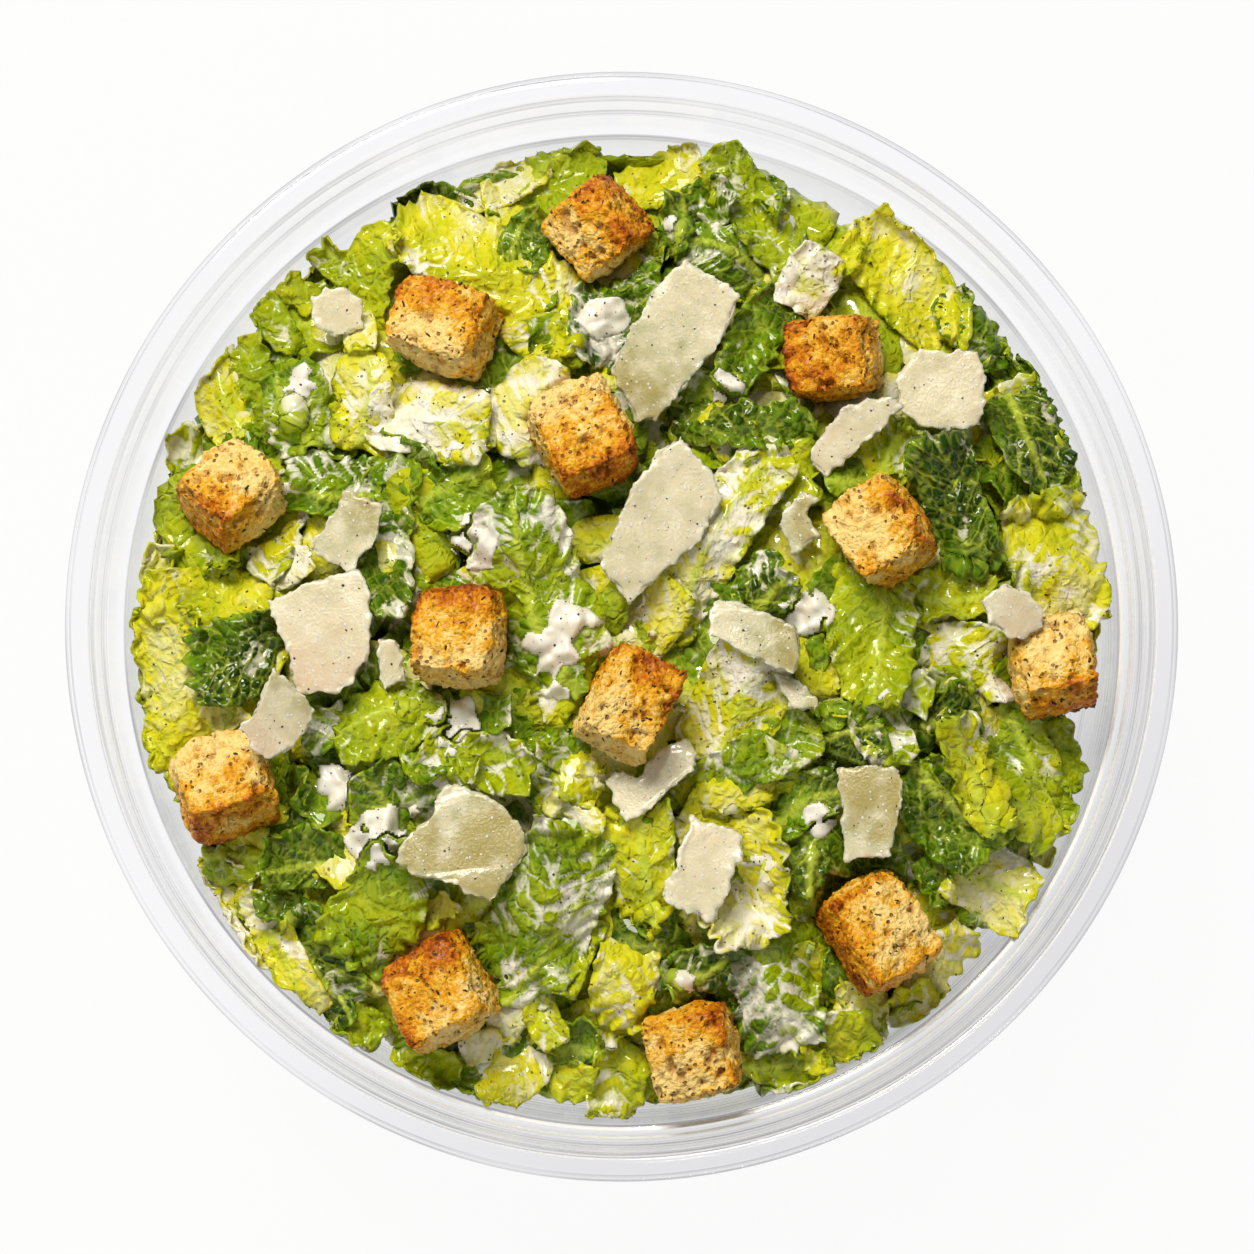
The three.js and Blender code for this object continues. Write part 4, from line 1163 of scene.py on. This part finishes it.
def shaving_tints(points, number):
    """How much painted green shade and how much pink the shaving has at each point."""
    green, green_way, pink, pink_way = SHAVING_TINTS[number]
    middle = 0.5 * (points.max(0) + points.min(0))
    local = (points - middle) / (0.5 * np.ptp(points[:, :2], axis=0).max())
    cloud = 0.25 * noise(points + 13.0 * number, 6.0, 81, 2)
    made = []
    for share, way in ((green, green_way), (pink, pink_way)):
        slope = local[:, 0] * math.cos(math.radians(way)) + local[:, 1] * math.sin(math.radians(way))
        made.append(np.clip(share * (1 + 0.9 * slope + cloud * 2), 0, 1))
    return made


def parmesan_finish(colours):
    make = Finish("hard_cheese")
    place = make.object_mm()
    green, pink, rim, thin = (make.layer(name) for name in ("green", "pink", "rim", "thin"))
    cloud = make.grain(place, 3.4, 2.0) - 0.5
    fine = make.grain(place, 0.5, 2.0) - 0.5
    # Painted shade: grey green, and a deeper olive, where the green layer is high and the edge is thin,
    # as if shadow and leaves showed through.
    clear = green * (0.6 + thin * 0.9) + cloud * 1.3
    green_shaded = make.blend(four(colours.parmesan), srgb(180, 184, 138), make.band(clear, 0.0, 0.9) * 0.9)
    deep = make.band(green + cloud * 0.8, 0.55, 1.1) * 0.75
    tinted = make.blend(green_shaded, srgb(178, 158, 78), deep)
    warm = make.blend(tinted, srgb(236, 200, 172), make.band(pink + cloud * 0.5, 0.1, 1.1) * 0.9)
    # Painted light: pale patches away from the green parts, as if lit.
    light_patches = make.band(fine * 1.5 - cloud * 1.6, 0.0, 0.7) * (0.75 - green * 0.5)
    lit = make.blend(warm, srgb(252, 248, 229), light_patches)
    edged = make.blend(lit, srgb(252, 249, 234), rim * 0.5)
    # White flecks: cheese crystals, and painted glints.
    crystals = make.flecks(place, 1.15, 0.24, 0.6)
    crystal_glints = make.blend(edged, srgb(255, 254, 248), crystals * 0.9)
    pepper = make.flecks(place, 1.7, 0.12, 0.4)
    height = fine * 0.6 + cloud * 0.6 + crystals * 0.9
    return make.solid({
        "Base Color": make.blend(crystal_glints, srgb(104, 58, 28), pepper * 0.8),
        "Roughness": 0.34 + fine * 0.2,
        "Subsurface Weight": 0.5, "Subsurface Radius": (1.0, 0.9, 0.6), "Subsurface Scale": 1.6 * MM,
        "Coat Weight": 0.5, "Coat Roughness": 0.14,
        "Normal": make.bump(height, 0.8, 0.3),
    })


# ---------------------------------------------------------------- specks


def speck_finish(name, first, second):
    make = Finish(name)
    tone = make.grain(make.object_mm(), 0.5, 2.0)
    return make.solid({
        "Base Color": make.blend(first, second, make.band(tone, 0.35, 0.65)),
        "Roughness": 0.45 + tone * 0.2, "Normal": make.bump(tone, 0.5, 0.1),
    })


def triangles_of(thing):
    """Corners of an object's triangles in millimetres (n, 3, 3)."""
    mesh = thing.data
    mesh.calc_loop_triangles()
    points = read(mesh.vertices, "co").astype(float) / MM
    return points[read(mesh.loop_triangles, "vertices")]


def scatter(things, count, seed, weights=None, upright=0.15):
    """Random points and normals on the faces that look up, by each thing's weight."""
    parts = [triangles_of(thing) for thing in things]
    corners = np.concatenate(parts)
    weight = np.repeat(weights or [1.0] * len(things), [len(part) for part in parts])
    cross = np.cross(corners[:, 1] - corners[:, 0], corners[:, 2] - corners[:, 0])
    area = np.linalg.norm(cross, axis=1)
    normals = cross / np.maximum(area, 1e-9)[:, None]
    chance = area * (normals[:, 2] > upright) * weight
    chooser = np.random.default_rng(seed)
    picked = np.searchsorted(np.cumsum(chance) / chance.sum(), chooser.random(count))
    shares = chooser.dirichlet((1, 1, 1), count)
    return (corners[picked] * shares[..., None]).sum(1), normals[picked]


def open_to_sky(spots, trees):
    """Which spots have nothing over them."""
    up = Vector((0, 0, 1))
    starts = [Vector(spot) + up * 0.25 for spot in spots]
    return np.array([all(tree.ray_cast(start, up)[0] is None for tree in trees) for start in starts])


def ball():
    """The twelve corners and twenty faces of a small round grain."""
    golden = (1 + math.sqrt(5)) / 2
    signs = list(itertools.product((-1, 1), repeat=2))
    points = np.array([np.roll((a, b * golden, 0), turn) for turn in range(3) for a, b in signs])
    points /= math.hypot(1, golden)
    over_an_edge = 1.06
    faces = []
    for trio in itertools.combinations(range(12), 3):
        a, b, c = points[list(trio)]
        if max(np.linalg.norm(a - b), np.linalg.norm(b - c), np.linalg.norm(c - a)) < over_an_edge:
            outward = np.dot(np.cross(b - a, c - a), a) > 0
            faces.append(trio if outward else trio[::-1])
    return points, np.array(faces)


def grains(spots, normals, size, shape, seed):
    """An uneven grain at each spot, lying along the surface."""
    points, faces = ball()
    chooser, batch = np.random.default_rng(seed), Batch()
    for spot, normal in zip(spots, normals):
        side = np.cross(normal, chooser.normal(size=3))
        side /= np.linalg.norm(side)
        axes = np.stack([side, np.cross(normal, side), normal])
        spread = size * chooser.uniform(0.5, 1.25) * chooser.uniform(0.8, 1.2, 3) * shape / 2
        uneven = points * spread * chooser.uniform(0.75, 1.2, (12, 1))
        made = spot + uneven @ axes + normal * spread[2] * 0.3
        batch.add(np.minimum(made, (np.inf, np.inf, CAD_BOX[1][2] / MM)), [faces])
    return batch


# ---------------------------------------------------------------- operators


class SaladOperator:
    """One step of the build, with the sizes and colours that the sidebar shows."""

    bl_options = {"REGISTER", "UNDO"}

    def execute(self, context):
        self.build(context.scene.salad_sizes, context.scene.salad_colours)
        return {"FINISHED"}


class SALAD_OT_bowl(SaladOperator, bpy.types.Operator):
    """Makes the clear plastic bowl"""

    bl_idname = "salad.bowl"
    bl_label = "Clear bowl"
    SIDES = 160

    def build(self, sizes, colours):
        outside = bowl_skin()
        profile = rounded(np.vstack([inset(outside, WALL), outside[::-1]]), WALL)
        thing = make_object("clear_bowl", *turned(profile, self.SIDES), clear_plastic(colours))
        dress(thing, "pet", "bowl")


class SALAD_OT_core(SaladOperator, bpy.types.Operator):
    """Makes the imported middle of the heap, which only shows in the gaps"""

    bl_idname = "salad.core"
    bl_label = "Core of the heap"
    DEPTH = 5.0
    WALL_GAP = 4.2
    RIM_GAP = 1.5
    SIDES = 180
    RINGS = 46

    def build(self, sizes, colours):
        wall = inner_wall(self.WALL_GAP)
        lower = wall[(wall[:, 1] < HEAP_EDGE - self.DEPTH) & (wall[:, 0] > 0)][::-1]
        radii = np.linspace(0, lower[0, 0] - self.RIM_GAP, self.RINGS)
        top = np.stack([radii, 0 * radii + HEAP_TOP], 1)
        points, faces = turned(np.vstack([top, lower, [(0, lower[-1, 1])]]), self.SIDES)
        x, y, z = points.T
        crumple = 1.6 * noise(points, 6.0, 91, 3)
        on_top = z == HEAP_TOP
        points[on_top, 2] = (heap_height(x, y) - self.DEPTH + crumple)[on_top]
        # Painted shade: the core is kept dark green, darkest on its sides and a little lighter towards
        # its edge, since it only shows in the shaded gaps between leaves.
        tone = 0.12 + 0.22 * smooth_step(np.hypot(x, y), 58, 74) + 0.3 * noise(points, 7.0, 93, 2)
        tone = np.where(on_top, tone, 0.04)
        layers = {"tone": tone, "pale": 0 * tone, "film": 0 * tone, "leaf_mm": points}
        dress(make_object("heap_core", points, faces, romaine(colours), layers), "romaine", "salad")


class SALAD_OT_tucked_leaves(SaladOperator, bpy.types.Operator):
    """Lays the leaves that fill the heap under the shown ones"""

    bl_idname = "salad.tucked_leaves"
    bl_label = "Tucked leaves"
    INNER = ("dark", "green", "lime", "heart", "green", "pale")
    OUTER = ("lime", "heart", "pale", "lime", "green")
    OUTER_FROM = 60
    REACH = 75
    COARSER = 3.6
    SINK = 2.0

    def build(self, sizes, colours):
        bed, batch = Bed("heap_core"), Batch()
        step = self.COARSER * sizes.leaf_step / MM
        for number in range(sizes.filler_count):
            seed, turn = TUCKED_SEED + number, number * GOLDEN_ANGLE
            reach = self.REACH * math.sqrt((number + 0.5) / sizes.filler_count)
            kind = chosen(self.OUTER if reach > self.OUTER_FROM else self.INNER, draw(seed, 24))
            size, heading, rise = 12 + 9 * draw(seed, 21), 360 * draw(seed, 22), 2.2 * draw(seed, 23)
            x, y = reach * math.cos(turn), reach * math.sin(turn)
            leaf = Leaf(kind, seed, x, y, size, 0.6 * size, heading, rise)
            batch.add(*bed.lay(leaf, step, sizes.leaf_thickness / MM, self.SINK))
        dress(batch.make("romaine_tucked", romaine(colours)), "romaine", "salad")


class SALAD_OT_leaves(SaladOperator, bpy.types.Operator):
    """Lays the shown romaine, one piece for each kind of leaf"""

    bl_idname = "salad.leaves"
    bl_label = "Romaine leaves"
    QUICK_COARSER = 2.0

    def build(self, sizes, colours):
        bed = Bed("heap_core", "romaine_tucked")
        step = sizes.leaf_step / MM * 1.0
        batches = {kind: Batch() for kind in KINDS}
        for leaf in lowest_first(leaves_of(LEAVES) + leaves_of(SCRAPS, SCRAP_SEED)):
            batches[leaf.kind].add(*bed.lay(leaf, step, sizes.leaf_thickness / MM))
        for kind, batch in batches.items():
            dress(batch.make("romaine_" + kind, romaine(colours)), "romaine", "salad")


class SALAD_OT_wall_leaves(SaladOperator, bpy.types.Operator):
    """Presses leaves against the inside of the clear wall and base"""

    bl_idname = "salad.wall_leaves"
    bl_label = "Leaves behind the wall"
    LOWER = ("dark", "green", "lime", "heart", "pale", "green", "lime")
    UPPER = ("lime", "heart", "pale", "green", "heart")
    UPPER_FROM = 0.6
    EDGE_GAP = 3

    def build(self, sizes, colours):
        wall, batch = WallLine(), Batch()
        for number in range(sizes.wall_count):
            seed, share = WALL_SEED + number, (number + 0.5) / sizes.wall_count
            kind = chosen(self.UPPER if share > self.UPPER_FROM else self.LOWER, draw(seed, 33))
            size = 12 + 16 * draw(seed, 31)
            leaf = Leaf(kind, seed, 0, 0, size, 0.62 * size, 360 * draw(seed, 32))
            middle = (wall.run[-1] - self.EDGE_GAP) * math.sqrt(share)
            steps = sizes.hidden_step / MM, sizes.leaf_thickness / MM
            batch.add(*wall.press(leaf, middle, number * GOLDEN_ANGLE, *steps))
        dress(batch.make("romaine_at_wall", romaine(colours)), "romaine", "salad")


class SALAD_OT_dressing(SaladOperator, bpy.types.Operator):
    """Pours the dressing: dollops and smears that settle over the leaves"""

    bl_idname = "salad.dressing"
    bl_label = "Dressing"
    REACH = 80
    OVERHEAD = 90
    SKIN = 0.22
    LOWEST = 30
    STEEPEST = 3
    DEEPEST_DIP = 1.5

    def build(self, sizes, colours):
        step = sizes.dressing_step / MM
        axis = np.arange(-self.REACH, self.REACH + step, step)
        x, y = np.meshgrid(axis, axis, indexing="ij")
        depth = self.depth(x, y)
        near = self.widened(depth > 0)
        tops = np.full(x.shape, -1.0)
        trees = [tree_of(bpy.data.objects[n]) for n in ("heap_core", "romaine_tucked", *SHOWN_LEAVES)]
        for i, j in np.argwhere(near):
            start = Vector((x[i, j], y[i, j], self.OVERHEAD))
            hits = [tree.ray_cast(start, Vector((0, 0, -1)))[0] for tree in trees]
            tops[i, j] = max([hit.z for hit in hits if hit] or [-1.0])
        settled = self.settled(tops, near)
        surface = settled + depth - self.SKIN
        steep = np.hypot(*np.gradient(tops, step)) >= self.STEEPEST
        uneven = (np.abs(settled - tops) >= self.DEEPEST_DIP) | (surface <= tops - 1.0)
        wanted = (depth > 0) & (tops > self.LOWEST) & ~steep & ~uneven
        sheet = self.sheet(x, y, surface, depth, wanted)
        dress(make_object("dressing", *sheet, cream_finish(colours)), "romaine", "salad")

    @staticmethod
    def share(x, y):
        """How much dressing each spot gets from the leaf that lies on top there."""
        share = np.zeros_like(x)
        for leaf in lowest_first(leaves_of(LEAVES)):
            sine, cosine = math.sin(leaf.turn), math.cos(leaf.turn)
            along = (x - leaf.x) * cosine + (y - leaf.y) * sine
            across = (y - leaf.y) * cosine - (x - leaf.x) * sine
            inside = (np.abs(along) < 0.46 * leaf.length) & (np.abs(across) < 0.42 * leaf.width)
            share[inside] = 0.85 * leaf.film
        return share

    def depth(self, x, y):
        """How deep the dressing lies at each spot."""
        place = place3(x, y)
        warped = place + 1.5 * place3(noise(place, 3.5, 102), noise(place, 3.5, 103))
        field = noise(warped, 5.5, 101, 3) + 1.2 * self.share(x, y) - 1.08
        depth = 0.5 * np.sqrt(np.clip(field * 3.2, 0, 1))
        lumps, edge = 0.5 * noise(place, 2.6, 105, 2), 0.9 * noise(warped, 3.2, 104, 2)
        for cx, cy, across in DOLLOPS:
            near = np.hypot(x - cx, y - cy) / (0.62 * across) - edge
            swell = 0.3 * across * np.sqrt(np.clip(1 - near, 0, 1)) * (1 + lumps)
            depth = np.maximum(depth, swell)
        return depth

    @staticmethod
    def widened(spots, passes=3):
        """The spots and those near them."""
        wide = spots.copy()
        for _ in range(passes):
            for grid in (wide, wide.T):
                grid[1:] |= grid[:-1]
                grid[:-1] |= grid[1:]
        return wide

    @staticmethod
    def settled(tops, known, passes=7):
        """The height that thick cream settles to over uneven leaves."""
        share = (known & (tops > 0)).astype(float)
        total = np.where(share > 0, tops, 0.0)
        for _ in range(passes):
            total, share = with_neighbours(total, 2) / 6, with_neighbours(share, 2) / 6
        return np.where(share > 1e-6, total / np.maximum(share, 1e-6), -1.0)

    @staticmethod
    def sheet(x, y, surface, depth, wanted):
        """A closed skin over the wanted spots, from the cream's top down into the leaves."""
        whole = wanted[:-1, :-1] & wanted[1:, :-1] & wanted[1:, 1:] & wanted[:-1, 1:]
        used = np.zeros(wanted.shape, bool)
        for di, dj in itertools.product((0, 1), repeat=2):
            used[di : used.shape[0] - 1 + di, dj : used.shape[1] - 1 + dj] |= whole
        count = int(used.sum())
        index = np.full(wanted.shape, -1)
        index[used] = np.arange(count)
        i, j = np.nonzero(whole)
        quads = np.stack([index[i, j], index[i + 1, j], index[i + 1, j + 1], index[i, j + 1]], -1)
        top = np.stack([x[used], y[used], surface[used]], -1)
        bottom = top - place3(0, 0, 0.5 + depth[used])
        sides = np.concatenate([quads[:, [k, (k + 1) % 4]] for k in range(4)])
        keys = np.sort(sides, axis=1) @ (1, count)
        _, first, repeats = np.unique(keys, return_index=True, return_counts=True)
        rim = sides[first[repeats == 1]]
        walls = np.stack([rim[:, 0], rim[:, 0] + count, rim[:, 1] + count, rim[:, 1]], -1)
        return np.vstack([top, bottom]), [np.concatenate([quads, quads[:, ::-1] + count, walls])]


class ToppingOperator(SaladOperator):
    """Carves each of some frame nodes out of a fine mesh of it."""

    def build(self, sizes, colours):
        finish = self.finish(colours)
        for number, node in enumerate(self.NODES):
            mesh = refined(node, self.step(sizes))
            points = read(mesh.vertices, "co").astype(float) / MM
            normals = read(mesh.vertex_normals, "vector").astype(float)
            moved, layers = self.carve(points, normals, read(mesh.edges, "vertices", 2), number)
            low, high = (np.array(corner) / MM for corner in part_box(node))
            set_points(mesh, np.clip(moved, low, high))
            dress(place_object(self.PREFIX + node, mesh, finish, layers), self.SLOT, node)


class SALAD_OT_croutons(ToppingOperator, bpy.types.Operator):
    """Bakes the croutons: torn, porous and browned cubes of bread"""

    bl_idname = "salad.croutons"
    bl_label = "Croutons"
    NODES, PREFIX, SLOT = CROUTONS, "toasted_", "toast"
    finish = staticmethod(toast_finish)
    carve = staticmethod(carve_bread)

    def step(self, sizes):
        return sizes.crouton_voxel


class SALAD_OT_parmesan(ToppingOperator, bpy.types.Operator):
    """Shaves the parmesan: thin, brittle flakes"""

    bl_idname = "salad.parmesan"
    bl_label = "Parmesan shavings"
    NODES, PREFIX, SLOT = SHAVINGS, "shaved_", "parmesan"
    finish = staticmethod(parmesan_finish)
    carve = staticmethod(carve_cheese)

    def step(self, sizes):
        return sizes.shaving_voxel


class SALAD_OT_specks(SaladOperator, bpy.types.Operator):
    """Scatters pepper over the salad and herbs on the croutons"""

    bl_idname = "salad.specks"
    bl_label = "Pepper and herbs"
    LEAF_WEIGHTS = (0.35, 0.6, 1.0, 1.8, 2.4, 5.0)
    DRESSING_WEIGHT = 4.0
    SHAVING_WEIGHT = 2.2
    PEPPER_SEED = 13
    HERB_SEED = 11
    HERB_SHARE = 3

    def build(self, sizes, colours):
        things = bpy.data.objects
        leaves = [things[name] for name in (*SHOWN_LEAVES, "dressing")]
        croutons = [things[SALAD_OT_croutons.PREFIX + node] for node in CROUTONS]
        shavings = [things[SALAD_OT_parmesan.PREFIX + node] for node in SHAVINGS]
        trees = [tree_of(thing) for thing in leaves + croutons + shavings]
        weights = [*self.LEAF_WEIGHTS, self.DRESSING_WEIGHT] + [self.SHAVING_WEIGHT] * len(shavings)
        peppered = scatter(leaves + shavings, sizes.pepper_count, self.PEPPER_SEED, weights)
        herbed = scatter(croutons, sizes.pepper_count // self.HERB_SHARE, self.HERB_SEED)
        pepper = speck_finish("pepper", four(colours.pepper), srgb(92, 58, 36))
        herb = speck_finish("herb", four(colours.herb), srgb(20, 22, 10))
        for name, (spots, normals), shape, seed, finish in (
            ("pepper_grains", peppered, (1, 0.8, 0.6), self.PEPPER_SEED, pepper),
            ("herb_flakes", herbed, (2.8, 1.0, 0.4), self.HERB_SEED, herb),
        ):
            clear = open_to_sky(spots, trees)
            batch = grains(spots[clear], normals[clear], sizes.pepper_size / MM, shape, seed)
            dress(batch.make(name, finish), "romaine", "salad")


class SALAD_OT_stage(SaladOperator, bpy.types.Operator):
    """Sets the pale floor, the soft lights and the camera over the bowl"""

    bl_idname = "salad.stage"
    bl_label = "Floor, lights and camera"
    ELEVATION = 85.5
    DISTANCE = 0.9
    FRAME_WIDTH = 0.208
    SENSOR = 36.0
    AIM = (0.9, -0.9)
    FLOOR_REACH = 2500.0
    WARM, SOFT = (1.0, 0.95, 0.85), (1.0, 0.97, 0.92)

    def build(self, sizes, colours):
        self.make_floor()
        self.make_world()
        for name, azimuth, elevation, distance, size, power, tint in (
            ("key", 116, 50, 1.5, 0.5, 17.5, self.WARM), ("spark", 96, 60, 1.5, 0.12, 5, self.SOFT),
            ("fill", 290, 42, 1.7, 1.4, 5, self.SOFT), ("side", 205, 38, 1.7, 1.4, 4, self.SOFT),
        ):
            lamp = bpy.data.lights.new(name, "AREA")
            lamp.shape, lamp.size, lamp.energy, lamp.color = "SQUARE", size, power, tint
            self.place(lamp, azimuth, elevation, distance)
        self.make_camera()

    def make_floor(self):
        make = Finish("floor")
        grain = make.grain(make.object_mm(), 40.0, 2.0)
        finish = make.solid({
            "Base Color": make.blend(srgb(40, 40, 40), srgb(36, 36, 37), grain), "Roughness": 0.9,
            "Emission Color": (1, 1, 1, 1), "Emission Strength": 0.945,
        })
        corners = [(x, y, 0) for x, y in ((-1, -1), (1, -1), (1, 1), (-1, 1))]
        mesh = bpy.data.meshes.new("floor")
        mesh.from_pydata((np.array(corners) * self.FLOOR_REACH * MM).tolist(), [], [(0, 1, 2, 3)])
        mesh.materials.append(finish)
        floor = bpy.data.objects.new("floor", mesh)
        bpy.context.scene.collection.objects.link(floor)

    @staticmethod
    def make_world():
        world = bpy.data.worlds.new("studio")
        bpy.context.scene.world = world
        make = Finish(owner=world)
        way = make.node("ShaderNodeTexCoord", output="Generated")
        height = make.node("ShaderNodeSeparateXYZ", None, {"Vector": way}, "Z")
        sky = make.ramp(height, [
            (0.0, (0.34, 0.34, 0.35, 1)), (0.5, (0.5, 0.49, 0.47, 1)), (0.62, (0.95, 0.93, 0.88, 1)),
            (1.0, (1.0, 0.97, 0.9, 1)),
        ])
        light = make.node("ShaderNodeBackground", None, {"Color": sky, "Strength": 0.14})
        make.node("ShaderNodeOutputWorld", None, {"Surface": light})

    @staticmethod
    def place(data, azimuth, elevation, distance, aim=(0, 0, 0)):
        """Puts a light or a camera at an angle about a point, looking at it."""
        a, e = math.radians(azimuth), math.radians(elevation)
        way = Vector((math.cos(a) * math.cos(e), math.sin(a) * math.cos(e), math.sin(e)))
        thing = bpy.data.objects.new(data.name, data)
        thing.location = Vector(aim) + way * distance
        thing.rotation_mode = "QUATERNION"
        thing.rotation_quaternion = (-way).to_track_quat("-Z", "Y")
        bpy.context.scene.collection.objects.link(thing)
        return thing

    def make_camera(self):
        scene = bpy.context.scene
        scene.view_settings.view_transform = "Standard"
        camera = bpy.data.cameras.new("camera")
        camera.sensor_width = self.SENSOR
        camera.lens = self.SENSOR * self.DISTANCE / self.FRAME_WIDTH
        camera.clip_start, camera.clip_end = 0.01, 10
        aim = Vector((*self.AIM, BOWL_HEIGHT)) * MM
        scene.camera = self.place(camera, -90, self.ELEVATION, self.DISTANCE, aim)


OPERATORS = (
    SALAD_OT_stage, SALAD_OT_bowl, SALAD_OT_core, SALAD_OT_tucked_leaves, SALAD_OT_leaves,
    SALAD_OT_wall_leaves, SALAD_OT_dressing, SALAD_OT_croutons, SALAD_OT_parmesan, SALAD_OT_specks,
)


class SALAD_PT_sidebar(bpy.types.Panel):
    """Lists the steps that build the salad"""

    bl_idname = "SALAD_PT_sidebar"
    bl_label = "Caesar salad"
    bl_space_type = "VIEW_3D"
    bl_region_type = "UI"
    bl_category = "Salad"

    def draw(self, context):
        for step in OPERATORS:
            self.layout.operator(step.bl_idname)
        for group in (context.scene.salad_sizes, context.scene.salad_colours):
            for name in group.__annotations__:
                self.layout.prop(group, name)


CLASSES = (SaladSizes, SaladColours, *OPERATORS, SALAD_PT_sidebar)


def register():
    for item in CLASSES:
        bpy.utils.register_class(item)
    bpy.types.Scene.salad_sizes = bpy.props.PointerProperty(type=SaladSizes)
    bpy.types.Scene.salad_colours = bpy.props.PointerProperty(type=SaladColours)


def unregister():
    del bpy.types.Scene.salad_sizes
    del bpy.types.Scene.salad_colours
    for item in reversed(CLASSES):
        bpy.utils.unregister_class(item)


def main():
    register()
    for step in OPERATORS:
        group, name = step.bl_idname.split(".")
        getattr(getattr(bpy.ops, group), name)()
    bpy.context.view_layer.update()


if __name__ == "__main__":
    main()
